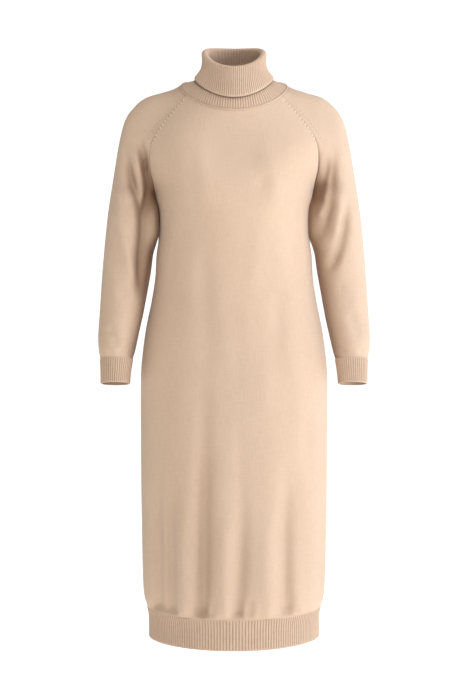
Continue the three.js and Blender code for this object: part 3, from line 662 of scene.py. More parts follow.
CENTRES = {-1: FRONT_CENTRE, 1: BACK_CENTRE}
RAGLANS = {-1: FRONT_RAGLAN, 1: BACK_RAGLAN}
BODY_FOLDS = {-1: FRONT_FOLDS, 1: BACK_FOLDS}
SLEEVE_FOLDS = {-1: FRONT_SLEEVE_FOLDS, 1: BACK_SLEEVE_FOLDS}


def body_surface(side, face):
    return folded_surface(side, face, plain_body_point, BODY_FOLDS[face], body_calm)


def sleeve_surface(side, face):
    return folded_surface(side, face, plain_sleeve_point, SLEEVE_FOLDS[face], sleeve_calm)


def joined_grid(levels, half_places, halves):
    """Outer points and outward directions of a piece whose rows run over two surfaces. The halves are
    those surfaces, each with the places that it gives, in their order along the row."""
    level, t = np.meshgrid(levels, half_places, indexing="ij")
    p = [surface.point(level, t)[:, places] for surface, places in halves]
    n = [surface.normal(level, t)[:, places] for surface, places in halves]
    return np.concatenate(p, 1), np.concatenate(n, 1)


def body_grid(face, levels, half_places):
    """A body piece, from its edge on the wearer's right to the one on the left. The places given run
    from the centre to the edge."""
    right = (body_surface(-1, face), slice(None, 0, -1))
    left = (body_surface(1, face), slice(None))
    return joined_grid(levels, half_places, (right, left))


def sleeve_grid(side, levels, half_places):
    """A sleeve or cuff, from its front edge round the outside of the arm to its back edge."""
    front = (sleeve_surface(side, -1), slice(None))
    back = (sleeve_surface(side, 1), slice(-2, None, -1))
    return joined_grid(levels, half_places, (front, back))


def distances(p, axis):
    """Running length along an axis of a grid of points."""
    steps = np.linalg.norm(np.diff(p, axis=axis), axis=-1)
    start = np.zeros_like(np.take(steps, [0], axis=axis))
    return np.cumsum(np.concatenate([start, steps], axis=axis), axis=axis)


def knit_uv(p):
    """Stitch coordinates of a grid, in millimetres from its middle column, along it and across."""
    middle = p.shape[1] // 2
    across = distances(p, 1)
    across = across - across[:, [middle]]
    along = distances(p[:, [middle]], 0)
    return np.stack([across, np.broadcast_to(along, across.shape)], -1)


def cells(grid):
    """The four corners of every cell of a grid, one way round."""
    return np.stack([grid[:-1, :-1], grid[:-1, 1:], grid[1:, 1:], grid[1:, :-1]], 2)


class Shell:
    """A closed thin wall between two grids of points, with the same rows and columns. Its first ring
    rows are closed to rings, and the others are open at both ends."""

    def __init__(self, outer, inner, uv, ring_rows=0):
        rows, columns = outer.shape[:2]
        self.places = np.concatenate([outer.reshape(-1, 3), inner.reshape(-1, 3)])
        self.uv = np.concatenate([uv.reshape(-1, 2)] * 2)
        self.count = rows * columns
        outside = np.arange(self.count).reshape(rows, columns)
        inside = outside + self.count
        self.shared = outside.copy()
        self.shared[:ring_rows, -1] = self.shared[:ring_rows, 0]
        self.faces = []
        self.grid(outside)
        self.grid(inside, flip=True)
        self.strip(inside[0], outside[0])
        self.strip(outside[-1], inside[-1])
        start = max(ring_rows - 1, 0)
        if ring_rows < rows:
            self.strip(outside[start:, 0], inside[start:, 0])
            self.strip(inside[start:, -1], outside[start:, -1])

    def grid(self, seats, flip=False):
        corners = cells(seats).reshape(-1, 4)
        self.faces.append(corners[:, ::-1] if flip else corners)

    def strip(self, lower, upper):
        self.grid(np.stack([lower, upper]))

    def mesh(self, name):
        corners = np.concatenate(self.faces)
        shared = np.concatenate([self.shared.ravel(), self.shared.ravel() + self.count])
        return make_mesh(name, self.places, shared[corners], self.uv[corners])


def make_mesh(name, places, corners, uv):
    """A mesh of quads, with its stitch coordinates, its faces turned outwards and no spare points."""
    used, corners = np.unique(corners, return_inverse=True)
    corners = corners.reshape(-1, 4)
    places = places[used] * MM
    a, b, c, d = (places[corners[:, i]] for i in range(4))
    volume = (np.cross(a, b) * c).sum() + (np.cross(a, c) * d).sum()
    if volume < 0:
        corners = corners[:, ::-1]
        uv = uv[:, ::-1]
    mesh = bpy.data.meshes.new(name)
    mesh.from_pydata(places.tolist(), [], corners.tolist())
    layer = mesh.uv_layers.new(name="stitches")
    layer.data.foreach_set("uv", (uv.reshape(-1, 2) * MM).ravel())
    mesh.shade_smooth()
    mesh.set_sharp_from_angle(angle=math.radians(SHARP_ANGLE))
    mesh.update()
    return mesh


def add_piece(name, mesh, material, nodes):
    piece = bpy.data.objects.new(name, mesh)
    bpy.context.scene.collection.objects.link(piece)
    mesh.materials.append(material)
    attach(piece, "root")
    if nodes:
        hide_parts(*nodes)
    return piece


def rib_wave(phase):
    """Height of a rib from 0 in a groove to 1 on its crown: the phase counts ribs."""
    return np.abs(np.cos(np.pi * phase)) ** RIB_POWER


def spaced(low, high, pitch):
    """Even values from low to high, about a pitch apart."""
    return np.linspace(low, high, max(2, round(abs(high - low) / pitch) + 1))


def seam_groove(edge_distance, depth):
    """The cloth turns in a little at a seam, so that the join shows as a fine groove."""
    return -depth * np.exp(-((edge_distance / GROOVE_WIDTH) ** 2))


def plain_levels(rib_seam, pitches):
    """Levels of a plain piece's rows, from its rib seam to the armpit and from there to the neck."""
    below, above = pitches
    lower = [rib_seam + SEAM_ROWS, spaced(rib_seam + EVEN_ROWS_START, ARMPIT_LEVEL, below)]
    upper = [spaced(ARMPIT_LEVEL, NECK_LEVEL - EVEN_ROWS_END, above)[1:], NECK_LEVEL - SEAM_ROWS[::-1]]
    return np.concatenate(lower), np.concatenate(upper)


def wall(p, n, relief, cloth):
    """Outer and inner points of a wall whose outer face is raised by the relief."""
    return p + n * relief[..., None], p - n * cloth


def plain_piece(name, node, material, grid, which, places, rib_seam, pitches, loop):
    """A piece of plain cloth, with grooves at its linked edges, its rib seam and the neck seam. A loop
    closes round the arm up to the armpit."""
    lower, upper = plain_levels(rib_seam, pitches)
    levels = np.concatenate([lower, upper])
    p, n = grid(which, levels, places)
    uv = knit_uv(p)
    to_edge = np.minimum(uv[:, -1:, 0] - uv[..., 0], uv[..., 0] - uv[:, :1, 0])
    row = levels[:, None]
    dip = seam_groove(to_edge, LINKED_GROOVE) + seam_groove(row - rib_seam, RIB_GROOVE)
    dip = dip + seam_groove(NECK_LEVEL - row, NECK_GROOVE)
    shell = Shell(*wall(p, n, dip, CLOTH), uv, len(lower) if loop else 0)
    return add_piece(name, shell.mesh(name), material, [node])


def make_panel(face, name, node, material):
    body = (body_grid, face, BODY_PLACES, HEM_SEAM_LEVEL, BODY_PITCHES)
    return plain_piece(name, node, material, *body, loop=False)


def make_sleeve(side, name, node, material):
    sleeve = (sleeve_grid, side, SLEEVE_PLACES, CUFF_SEAM_LEVEL, SLEEVE_PITCHES)
    return plain_piece(name, node, material, *sleeve, loop=True)


def spindle(centre, along, across, up, size):
    """Places, side faces and ends of a small raised stitch: a loop lying on the cloth, which tapers
    to a blunt tip at both ends."""
    length, width, height = size
    tip = 0.004
    stations = np.linspace(-1, 1, MARK_STATIONS)
    turns = 2 * np.pi * np.arange(MARK_SIDES) / MARK_SIDES
    s, a = np.meshgrid(stations, turns, indexing="ij")
    swell = np.sqrt(np.maximum(1 - s**2, tip))
    p = centre + (s * length / 2)[..., None] * along
    p = p + (swell * np.cos(a) * width / 2)[..., None] * across
    p = p + (swell * np.sin(a) * height)[..., None] * up
    seats = np.arange(MARK_STATIONS * MARK_SIDES).reshape(MARK_STATIONS, MARK_SIDES)
    ring = np.concatenate([seats, seats[:, :1]], 1)
    return p.reshape(-1, 3), cells(ring).reshape(-1, 4), [seats[0], seats[-1][::-1]]


def mark_row(surface, edge, levels, start, inset, size, face, side):
    """Raised stitches in a row beside a raglan, at even distances along it."""
    t = np.full_like(levels, edge)
    p = surface.point(levels, t)
    reached = distances(p[:, None], 0)[:, 0]
    chosen = np.arange(start, reached[-1] - MARK_PITCH / 2, MARK_PITCH)
    level = np.interp(chosen, reached, levels)
    toward = 1 - inset if edge == 1 else inset
    places = np.full_like(level, toward)
    centre = surface.point(level, places)
    up = surface.normal(level, places)
    step = 2 * LEVEL_STEP
    along_seam = unit(surface.point(level + step, places) - surface.point(level - step, places))
    across_seam = np.cross(up, along_seam) * side * face
    angle = math.radians(MARK_TURN)
    along = along_seam * math.cos(angle) + across_seam * math.sin(angle)
    across = np.cross(up, along)
    return [spindle(centre[i], along[i], across[i], up[i], size) for i in range(len(level))]


def make_marks(side, name, materials):
    """The fashioning marks of a sleeve's two raglans: slanted stitches on the body beside the seam,
    and fainter ones on the sleeve, each row with its eyelets half a distance further on. The stitches
    are painted lighter than the knit as a highlight, and the eyelets dark as shade."""
    levels = np.linspace(*MARK_LEVELS, MARK_READINGS)
    stitches, eyelets = [], []
    for face in (-1, 1):
        rows = (
            (body_surface(side, face), 1, BODY_MARK_INSET, BODY_MARK),
            (sleeve_surface(side, face), 0, SLEEVE_MARK_INSET, SLEEVE_MARK),
        )
        for surface, edge, inset, size in rows:
            stitches += mark_row(surface, edge, levels, MARK_PITCH, inset, size, face, side)
            small = (size[0] * EYELET_SHARE, size[1] * EYELET_SHARE, EYELET_HEIGHT)
            eyelets += mark_row(surface, edge, levels, EYELET_START, inset, small, face, side)
    places, faces, slots, count = [], [], [], 0
    for i, (p, sides, ends) in enumerate(stitches + eyelets):
        places.append(p)
        corners = sides.tolist() + [end.tolist() for end in ends]
        faces += [[seat + count for seat in seats] for seats in corners]
        slots += [int(i >= len(stitches))] * len(corners)
        count += len(p)
    mesh = bpy.data.meshes.new(name)
    mesh.from_pydata((np.concatenate(places) * MM).tolist(), [], faces)
    bm = bmesh.new()
    bm.from_mesh(mesh)
    bmesh.ops.recalc_face_normals(bm, faces=bm.faces)
    bm.to_mesh(mesh)
    bm.free()
    mesh.shade_smooth()
    piece = add_piece(name, mesh, materials[0], [])
    mesh.materials.append(materials[1])
    mesh.polygons.foreach_set("material_index", slots)
    return piece


def rib_relief(phase, from_seam, from_edge):
    """Ribs that fade where the band is linked on, and stop at the plain edge of the knitting."""
    strength = smoothstep(from_seam, *RIBS_FROM_SEAM) * smoothstep(from_edge, *RIBS_FROM_EDGE)
    welt = WELT_HEIGHT * (1 - smoothstep(from_edge, *WELT_FADE))
    return RIB_HEIGHT * rib_wave(phase) * strength + welt


def rib_levels(edge, seam):
    even = spaced(edge + RIB_ROWS_START, seam - RIB_PITCH, RIB_PITCH)
    return np.concatenate([edge + RIB_EDGE_ROWS, even, seam - RIB_SEAM_ROWS])


def rib_piece(name, node, material, grid, which, edge, seam, half, first, loop):
    """A band of ribs from its plain edge to its seam. Half is the number of columns in half a row, and
    first the number of its first column, when the one on the crown of a rib is 0."""
    levels = rib_levels(edge, seam)
    p, n = grid(which, levels, np.linspace(0, 1, half + 1))
    phase = np.arange(first, first + 2 * half + 1) / COLUMNS_A_RIB
    from_seam = (seam - levels)[:, None]
    relief = rib_relief(phase, from_seam, (levels - edge)[:, None]) + seam_groove(from_seam, RIB_GROOVE)
    uv = knit_uv(p)
    uv[..., 0] = phase * WALES_A_RIB * WALE
    shell = Shell(*wall(p, n, relief, CLOTH), uv, len(levels) if loop else 0)
    return add_piece(name, shell.mesh(name), material, [node])


def make_hem_rib(face, name, node, material):
    half = HEM_RIBS_A_FACE * COLUMNS_A_RIB // 2
    band = (body_grid, face, HEM_LEVEL, HEM_SEAM_LEVEL, half, -half)
    return rib_piece(name, node, material, *band, loop=False)


def make_cuff(side, name, node, material):
    half = CUFF_RIBS_A_FACE * COLUMNS_A_RIB
    band = (sleeve_grid, side, CUFF_LEVEL, CUFF_SEAM_LEVEL, half, 0)
    return rib_piece(name, node, material, *band, loop=True)


def squeezed(u, squeeze):
    """Places once round, drawn towards the centre front and the centre back."""
    return u - squeeze * np.sin(4 * np.pi * u) / (4 * np.pi)


def neck_seam(count):
    """Points and outward directions along the neck seam, once round from the centre front by the
    wearer's left."""
    steps = np.linspace(0, 1, 81)
    level = np.full_like(steps, NECK_LEVEL)
    p, n = [], []
    for side, face in ((1, -1), (1, 1), (-1, 1), (-1, -1)):
        way = -side * face
        for surface in (body_surface(side, face), sleeve_surface(side, face))[::way]:
            p.append(surface.point(level, steps)[::way][:-1])
            n.append(surface.normal(level, steps)[::way][:-1])
    p = np.concatenate([*p, p[0][:1]])
    n = np.concatenate([*n, n[0][:1]])
    reached = np.concatenate([[0], np.cumsum(np.linalg.norm(np.diff(p, axis=0), axis=1))])
    wanted = reached[-1] * squeezed(np.arange(count) / count, NECK_SQUEEZE)

    def at_wanted(values):
        return np.stack([np.interp(wanted, reached, values[:, i]) for i in range(3)], -1)

    return at_wanted(p), unit(at_wanted(n))


def ring_point(rows, step, u):
    """Point of a collar ring: u runs once round from the centre front by the wearer's left."""
    ring = read(rows, step)
    angle = 2 * np.pi * squeezed(u, ring["squeeze"])
    front = np.cos(angle)
    reach = np.where(front > 0, COLLAR_SIDE_Y - ring["front_y"], ring["back_y"] - COLLAR_SIDE_Y)
    slope = (ring["front_z"] - ring["back_z"]) / 2
    dish = (ring["front_z"] + ring["back_z"]) / 2 - ring["side_z"]
    x = ring["side_x"] * np.sin(angle)
    return points(x, COLLAR_SIDE_Y - reach * front, ring["side_z"] + slope * front + dish * front**2)


class Collar:
    """The rib collar, as rings from the neck seam up over the roll and back down inside."""

    COLUMNS = COLLAR_RIBS * COLUMNS_A_RIB
    # The share of the base that the linked ridge takes up
    RIDGE = 0.12

    def __init__(self):
        self.u = np.arange(self.COLUMNS) / self.COLUMNS
        self.phase = np.arange(self.COLUMNS) / COLUMNS_A_RIB
        self.seam, self.seam_normal = neck_seam(self.COLUMNS)
        self.fold = self.surface(lambda step, u: ring_point(COLLAR_FOLD, step, u))
        self.base = self.surface(self.base_point)
        self.rings = []

    def surface(self, point):
        """A sheet of the collar, whose places run on past the centre front at both ends."""
        return Surface(point, RING_STEP, PLACE_STEP, 1, (-1, 2), 1)

    def base_point(self, step, u):
        place = (u % 1) * self.COLUMNS
        low = np.floor(place).astype(int)
        part = (place - low)[..., None]
        near = self.seam[low % self.COLUMNS] * (1 - part) + self.seam[(low + 1) % self.COLUMNS] * part
        start = ring_point(COLLAR_BASE, np.zeros_like(u), u)
        return ring_point(COLLAR_BASE, step, u) + (near - start) * ((1 - step) ** 2)[..., None]

    def ribs(self, strength):
        return RIB_HEIGHT * strength * rib_wave(self.phase)

    def gap(self, step):
        """The two layers part towards the soft roll."""
        return COLLAR_FOLD_GAP + (ROLL_GAP - COLLAR_FOLD_GAP) * float(smoothstep(step, ROLL_START, 1))

    def ring(self, surface, step, depth, strength):
        steps = np.full_like(self.u, step)
        height = self.ribs(strength) - depth
        p = surface.point(steps, self.u) + surface.normal(steps, self.u) * height[:, None]
        self.rings.append(p)

    def seam_ring(self, height):
        self.rings.append(self.seam + self.seam_normal * height)

    def roll_ring(self, radius, turn, strength):
        """A ring round the roll: the turn is 0 on its outside, 90 on top and 180 on its inside."""
        angle = math.radians(turn)
        steps = np.ones_like(self.u)
        top = self.fold.point(steps, self.u)
        up = unit(top - self.fold.point(steps - RING_STEP, self.u))
        reach = (radius + self.ribs(strength))[:, None]
        outward = self.fold.normal(steps, self.u) * (reach * math.cos(angle) - ROLL_RADIUS)
        self.rings.append(top + outward + up * reach * math.sin(angle))

    def build(self):
        # The linked ridge at the neck seam
        self.seam_ring(0)
        for place in np.linspace(0.08, 0.92, 7):
            height = RIDGE_HEIGHT * math.sin(math.pi * place) ** 1.6
            self.ring(self.base, self.RIDGE * place, -height, 0)
        # The flared base, with ribs that start above the ridge
        for step in (self.RIDGE, 0.135, 0.155, 0.18):
            self.ring(self.base, step, 0, float(smoothstep(step, self.RIDGE, 0.17)))
        for step in np.linspace(0.22, 0.95, 14):
            self.ring(self.base, step, 0, 1)
        # The stand, hidden by the turned-down layer, and the inside of the roll
        for step in np.linspace(0.2, 1, 10):
            self.ring(self.fold, step, COLLAR_CLOTH + self.gap(step), 0.3)
        for turn in (30, 90, 150):
            self.roll_ring(ROLL_GAP / 2, 180 - turn, 0)
        for step in np.linspace(1, 0.04, 12):
            self.ring(self.fold, step, COLLAR_CLOTH, -0.3)
        # The lower edge of the turned-down layer, and its face
        self.ring(self.fold, 0.004, COLLAR_CLOTH * 0.9, 0)
        self.ring(self.fold, -0.012, COLLAR_CLOTH * 0.5, 0)
        self.ring(self.fold, 0.0, 0.2, 0.2)
        for step in (0.018, 0.04):
            self.ring(self.fold, step, 0, float(0.2 + 0.8 * smoothstep(step, 0.0, 0.04)))
        for step in np.linspace(0.07, 1, 26):
            self.ring(self.fold, step, 0, 1)
        # The roll, and the stand's and base's inside
        for turn in (15, 32, 50, 70, 90, 110, 130, 150, 168):
            self.roll_ring(ROLL_RADIUS, turn, 1 - 0.6 * math.sin(math.radians(turn)))
        for step in np.linspace(1, 0.2, 16):
            self.ring(self.fold, step, 2 * COLLAR_CLOTH + self.gap(step), -1)
        for step in np.linspace(0.95, 0.06, 9):
            self.ring(self.base, step, COLLAR_CLOTH, -0.8)
        self.seam_ring(-COLLAR_CLOTH)
        return self

    def mesh(self, name):
        p = np.stack(self.rings)
        rows = len(p)
        seats = np.arange(rows * self.COLUMNS).reshape(rows, self.COLUMNS)
        across = np.concatenate([self.phase, [COLLAR_RIBS]]) * WALES_A_RIB * WALE
        along = np.append(distances(p, 0)[:, 0], 0)
        along[-1] = along[-2] + np.linalg.norm(p[-1, 0] - p[0, 0])
        uv = np.stack(np.meshgrid(across, along), -1)
        corners = cells(np.pad(seats, ((0, 1), (0, 1)), mode="wrap"))
        return make_mesh(name, p.reshape(-1, 3), corners.reshape(-1, 4), cells(uv).reshape(-1, 4, 2))


# Painted shade in the hollows of the body, the sleeves, the cuffs and hem, and the collar: how far it
# reaches, how strongly it darkens, and whether only the piece's own folds count
BODY_PAINTED_SHADE = (70.0, 1.5, True)
SLEEVE_PAINTED_SHADE = (100.0, 2.5, False)
BAND_PAINTED_SHADE = (70.0, 1.1, False)
COLLAR_PAINTED_SHADE = (26.0, 1.2, False)
# Painted shade: what is left of the wool's colour in a hollow
PAINTED_SHADE_TINT = (0.28, 0.20, 0.15, 1)

# Light and dark tones of the plain knit and the ribs, mixed by the yarn's unevenness and by painted
# shade; the marks' colour, painted lighter than the knit as a highlight; and the eyelets' dark colour,
# which is painted shade
PLAIN_COLOURS = ((0.80, 0.592, 0.425, 1), (0.60, 0.41, 0.275, 1))
RIB_COLOURS = ((0.82, 0.61, 0.445, 1), (0.57, 0.385, 0.26, 1))
MARK_HIGHLIGHT_COLOUR = (0.87, 0.69, 0.54, 1)
EYELET_SHADE_COLOUR = (0.52, 0.37, 0.26, 1)

# Shares in the tone: of the stitches, whose gaps are painted darker as shade, of the grooves between
# ribs, which are painted darker as shade, and a base. No groove shade is painted on the welt, which
# ends between these distances from the plain edge.
STITCH_SHADE = 0.34
GROOVE_SHADE = 0.34
BASE_TONE = 0.33
WELT_END = (3.5, 5.5)

# A stitch: how many courses its legs slant, the powers that fill out its legs and its length, and how
# much the fuzz and the streaks along the wales count in the relief
LEG_SLANT = 0.75
LEG_POWER = 0.7
LOOP_POWER = 0.6
FUZZ_RELIEF = 0.35
STREAK_RELIEF = 0.5
# What is left of a mark's colour between its fibres
FIBRE_TINT = (0.82, 0.8, 0.78, 1)

# Uneven yarn: how often a metre it changes across and along the wales, in how much detail, and how
# much it counts in the tone
UNEVEN_YARN = {
    "wale_streak": (360.0, 40.0, 3.0, 0.42),
    "course_streak": (45.0, 420.0, 3.0, 0.36),
    "patches": (9.0, 7.0, 2.0, 0.3),
    "fuzz": (2200.0, 2200.0, 2.0, 0.3),
}


class Nodes:
    """Short forms for building a node tree from nothing."""

    def __init__(self, owner):
        owner.use_nodes = True
        self.tree = owner.node_tree
        self.tree.nodes.clear()

    def add(self, kind, inputs, **settings):
        """A node, whose inputs are linked or set to plain values."""
        node = self.tree.nodes.new(kind)
        for key, value in settings.items():
            setattr(node, key, value)
        for key, value in inputs.items():
            if isinstance(value, bpy.types.NodeSocket):
                self.tree.links.new(value, node.inputs[key])
            else:
                node.inputs[key].default_value = value
        return node

    def maths(self, operation, *values, clamp=False):
        inputs = dict(enumerate(values))
        return self.add("ShaderNodeMath", inputs, operation=operation, use_clamp=clamp).outputs[0]

    def mix(self, factor, a, b, blend="MIX"):
        inputs = {"Factor": factor, 6: a, 7: b}
        return self.add("ShaderNodeMix", inputs, data_type="RGBA", blend_type=blend).outputs[2]

    def noise(self, vector, scale, detail=2.0):
        inputs = {"Vector": vector, "Scale": scale, "Detail": detail}
        return self.add("ShaderNodeTexNoise", inputs).outputs["Fac"]

    def stretched(self, vector, x, y):
        inputs = {"Vector": vector, "Scale": (x, y, 1.0)}
        return self.add("ShaderNodeMapping", inputs).outputs["Vector"]


def painted_hollow_shade(nodes, colour, hollow):
    """Painted shade: the wool's colour is darkened in deep folds and narrow gaps, as far as ambient
    occlusion finds them.
    """
    reach, power, alone = hollow
    near = {"Distance": reach * MM}
    node = nodes.add("ShaderNodeAmbientOcclusion", near, samples=8, only_local=alone)
    open_sky = nodes.maths("POWER", node.outputs["AO"], power)
    return nodes.mix(open_sky, nodes.mix(1.0, colour, PAINTED_SHADE_TINT, "MULTIPLY"), colour)


def wool(nodes, colour, height, strength, depth, sheen):
    """A matte surface of a colour, with its height as a fine relief."""
    relief = {"Strength": strength, "Distance": depth * MM, "Height": height}
    looks = {
        "Base Color": colour,
        "Normal": nodes.add("ShaderNodeBump", relief).outputs[0],
        "Roughness": 0.92,
        "Specular IOR Level": 0.2,
        "Sheen Weight": sheen,
        "Sheen Roughness": 0.5,
        "Sheen Tint": (1.0, 0.93, 0.86, 1.0),
    }
    shader = nodes.add("ShaderNodeBsdfPrincipled", looks)
    nodes.add("ShaderNodeOutputMaterial", {0: shader.outputs[0]})


def rib_groove_shade(nodes, wale, along):
    """How much painted shade darkens the groove between ribs, from 0 to 1, at a count of wales. None is
    on the welt.
    """
    rib = nodes.maths("MULTIPLY", nodes.maths("DIVIDE", wale, float(WALES_A_RIB)), math.pi)
    groove = nodes.maths("SUBTRACT", 1.0, nodes.maths("ABSOLUTE", nodes.maths("COSINE", rib)))
    welt = {"Value": along, "From Min": WELT_END[0] * MM, "From Max": WELT_END[1] * MM}
    past_welt = nodes.add("ShaderNodeMapRange", welt, interpolation_type="SMOOTHSTEP")
    return nodes.maths("MULTIPLY", groove, past_welt.outputs[0])


def knit_material(name, colours, hollow, ribbed):
    """Fine stockinette: columns of V-shaped loops, with yarn that is uneven and a little woolly. Its
    colour also holds painted shade: darker between the loops, in the grooves between ribs and in
    hollows.
    """
    light, shade = colours
    material = bpy.data.materials.new(name)
    nodes = Nodes(material)
    maths = nodes.maths
    uv = nodes.add("ShaderNodeUVMap", {}, uv_map="stitches").outputs["UV"]
    split = nodes.add("ShaderNodeSeparateXYZ", {0: uv})
    wale = maths("DIVIDE", split.outputs[0], WALE * MM)
    course = maths("DIVIDE", split.outputs[1], COURSE * MM)

    # Across a wale: 0 at its middle and 1 where it meets the next
    across = maths("ABSOLUTE", maths("SUBTRACT", maths("MULTIPLY", maths("FRACT", wale), 2.0), 1.0))
    slanted = maths("FRACT", maths("SUBTRACT", course, maths("MULTIPLY", across, LEG_SLANT)))
    leg = maths("SINE", maths("MULTIPLY", across, math.pi))
    loop = maths("SINE", maths("MULTIPLY", slanted, math.pi))
    stitch = maths("MULTIPLY", maths("POWER", leg, LEG_POWER), maths("POWER", loop, LOOP_POWER))

    # Painted shade: the gaps between the loops are darker than their crowns
    tone = maths("MULTIPLY", stitch, STITCH_SHADE)
    noise = {}
    for kind, (x, y, detail, weight) in UNEVEN_YARN.items():
        noise[kind] = nodes.noise(nodes.stretched(uv, x, y), 1.0, detail)
        tone = maths("ADD", tone, maths("MULTIPLY", maths("SUBTRACT", noise[kind], 0.5), weight))
    # Painted shade: on ribbed knit the grooves between the ribs are darker
    if ribbed:
        groove = rib_groove_shade(nodes, wale, split.outputs[1])
        tone = maths("SUBTRACT", tone, maths("MULTIPLY", groove, GROOVE_SHADE))
    tone = maths("ADD", tone, BASE_TONE, clamp=True)

    height = maths("ADD", stitch, maths("MULTIPLY", noise["fuzz"], FUZZ_RELIEF))
    height = maths("ADD", height, maths("MULTIPLY", noise["wale_streak"], STREAK_RELIEF))
    # The colour is darkened by painted shade in folds and gaps
    colour = painted_hollow_shade(nodes, nodes.mix(tone, shade, light), hollow)
    wool(nodes, colour, height, strength=0.55 if ribbed else 0.6, depth=0.25, sheen=0.22)
    return material


def mark_material(name, colour):
    """The wool of the raised stitches, a little uneven, in the colour given: lighter than the knit for
    the marks as a painted highlight, and dark for the eyelets as painted shade.
    """
    material = bpy.data.materials.new(name)
    nodes = Nodes(material)
    fuzz = nodes.noise(nodes.add("ShaderNodeTexCoord", {}).outputs["Object"], 1800.0)
    darker = tuple(part * tint for part, tint in zip(colour, FIBRE_TINT))
    wool(nodes, nodes.mix(fuzz, darker, colour), fuzz, strength=0.5, depth=0.2, sheen=0.0)
    return material


# Camera at the photograph's angle: eye level near the hips, a little above
CAMERA_DISTANCE = 3.5
CAMERA_ELEVATION = 3.5
CAMERA_TARGET = Vector((0.0, 0.0, -0.5481))
CAMERA_LENS = 85.96
CAMERA_SENSOR = 36.0


def make_camera():
    data = bpy.data.cameras.new("camera")
    data.lens = CAMERA_LENS
    data.sensor_width = CAMERA_SENSOR
    camera = bpy.data.objects.new("camera", data)
    bpy.context.scene.collection.objects.link(camera)
    angle = math.radians(CAMERA_ELEVATION)
    back = Vector((0.0, -math.cos(angle), math.sin(angle)))
    camera.location = CAMERA_TARGET + back * CAMERA_DISTANCE
    camera.rotation_euler = (-back).to_track_quat("-Z", "Y").to_euler()
    bpy.context.scene.camera = camera


def area_light(name, place, target, size, power, colour):
    data = bpy.data.lights.new(name, "AREA")
    data.shape = "DISK"
    data.size = size
    data.energy = power
    data.color = colour
    light = bpy.data.objects.new(name, data)
    bpy.context.scene.collection.objects.link(light)
    light.location = place
    way = Vector(target) - Vector(place)
    light.rotation_euler = way.to_track_quat("-Z", "Y").to_euler()
    return light


# The floor, far below and wide, with a glow that keeps its far edge as white as the backdrop
FLOOR_LEVEL = -1.46
FLOOR_RADIUS = 14.0
FLOOR_LOOKS = {
    "Base Color": (0.92, 0.92, 0.92, 1),
    "Roughness": 0.8,
    "Emission Color": (1, 1, 1, 1),
    "Emission Strength": 0.95,
}


def make_floor():
    bpy.ops.mesh.primitive_circle_add(
        vertices=96, radius=FLOOR_RADIUS, fill_type="NGON", location=(0, 0, FLOOR_LEVEL)
    )
    floor = bpy.context.object
    floor.name = "floor"
    material = bpy.data.materials.new("pale_floor")
    nodes = Nodes(material)
    shader = nodes.add("ShaderNodeBsdfPrincipled", FLOOR_LOOKS)
    nodes.add("ShaderNodeOutputMaterial", {0: shader.outputs[0]})
    floor.data.materials.append(material)


# Light from all round, how much stronger it is from the right, its colour, and the white backdrop
WORLD_LIGHT = 0.22
WORLD_LEAN = 0.14
WORLD_COLOUR = (1.0, 0.97, 0.94, 1)
BACKDROP = {"Strength": 1.1, "Color": (1, 1, 1, 1)}


def make_world():
    """Soft light all round, a little stronger from the right, which the camera sees as plain white."""
    world = bpy.data.worlds.new("studio")
    bpy.context.scene.world = world
    nodes = Nodes(world)
    place = nodes.add("ShaderNodeTexCoord", {}).outputs["Generated"]
    way = nodes.add("ShaderNodeSeparateXYZ", {0: place})
    strength = nodes.maths("MULTIPLY_ADD", way.outputs[0], WORLD_LEAN, WORLD_LIGHT)
    lighting = nodes.add("ShaderNodeBackground", {"Strength": strength, "Color": WORLD_COLOUR})
    seen = nodes.add("ShaderNodeBackground", BACKDROP)
    direct = nodes.add("ShaderNodeLightPath", {}).outputs["Is Camera Ray"]
    blend = nodes.add("ShaderNodeMixShader", {0: direct, 1: lighting.outputs[0], 2: seen.outputs[0]})
    nodes.add("ShaderNodeOutputWorld", {0: blend.outputs[0]})


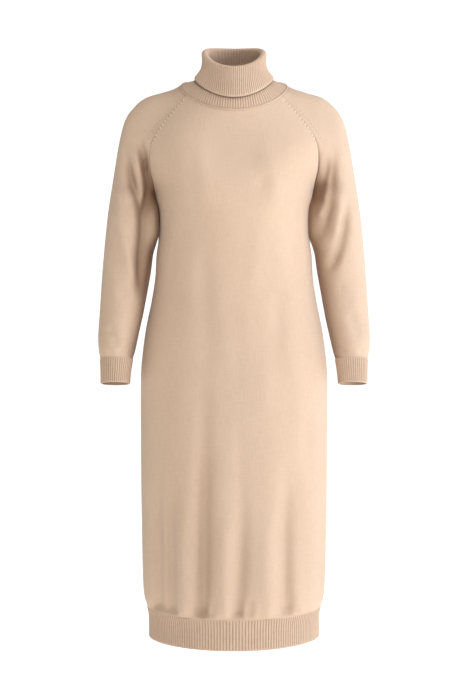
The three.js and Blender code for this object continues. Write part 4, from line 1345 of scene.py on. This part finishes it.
# Places, sizes in metres, powers in watts and colours of the lights
KEY_LIGHT = {
    "place": (3.5, -1.0, 0.5),
    "target": (0.0, 0.0, -0.5),
    "size": 1.8,
    "power": 90,
    "colour": (0.88, 0.99, 1.15),
}
TOP_LIGHT = {
    "place": (0.15, -1.4, 1.7),
    "target": (0.0, 0.0, -0.2),
    "size": 1.4,
    "power": 27,
    "colour": (0.97, 0.99, 1.03),
}


def make_lights(shading_pieces):
    """A broad key light from the right, which only the pieces given hold back, and a softer one from
    the front and above."""
    key = area_light("key", **KEY_LIGHT)
    area_light("top", **TOP_LIGHT)
    blockers = bpy.data.collections.new("key_blockers")
    for piece in shading_pieces:
        blockers.objects.link(piece)
    key.light_linking.blocker_collection = blockers
    bpy.context.scene.view_settings.view_transform = "Standard"


make_camera()
make_world()
make_floor()

# The knit materials differ in how strongly painted shade darkens their hollows
PLAIN = knit_material("plain_knit", PLAIN_COLOURS, BODY_PAINTED_SHADE, ribbed=False)
SLEEVE_PLAIN = knit_material("sleeve_knit", PLAIN_COLOURS, SLEEVE_PAINTED_SHADE, ribbed=False)
RIB = knit_material("rib_knit", RIB_COLOURS, BAND_PAINTED_SHADE, ribbed=True)
COLLAR_RIB = knit_material("collar_knit", RIB_COLOURS, COLLAR_PAINTED_SHADE, ribbed=True)
# The marks' material is a painted highlight and the eyelets' material is painted shade
MARKS = (mark_material("mark_painted_highlight", MARK_HIGHLIGHT_COLOUR), mark_material("eyelet_shade", EYELET_SHADE_COLOUR))

front = make_panel(-1, "front_body", "front_panel", PLAIN)
back = make_panel(1, "back_body", "back_panel", PLAIN)
SIDES = ((1, "left"), (-1, "right"))
sleeves = {}
cuffs = {}
for side, word in SIDES:
    sleeves[side] = make_sleeve(side, f"raglan_sleeve_{word}", f"sleeve_{word}", SLEEVE_PLAIN)
    cuffs[side] = make_cuff(side, f"rib_cuff_{word}", f"cuff_{word}", RIB)
    make_marks(side, f"fashioning_marks_{word}", MARKS)
hem_front = make_hem_rib(-1, "rib_hem_front", "hem_rib_front", RIB)
hem_back = make_hem_rib(1, "rib_hem_back", "hem_rib_back", RIB)
collar_mesh = Collar().build().mesh("rib_collar")
collar = add_piece("rib_collar", collar_mesh, COLLAR_RIB, ["turtleneck_collar"])

make_lights([front, back, collar, sleeves[-1], cuffs[-1], hem_front, hem_back])
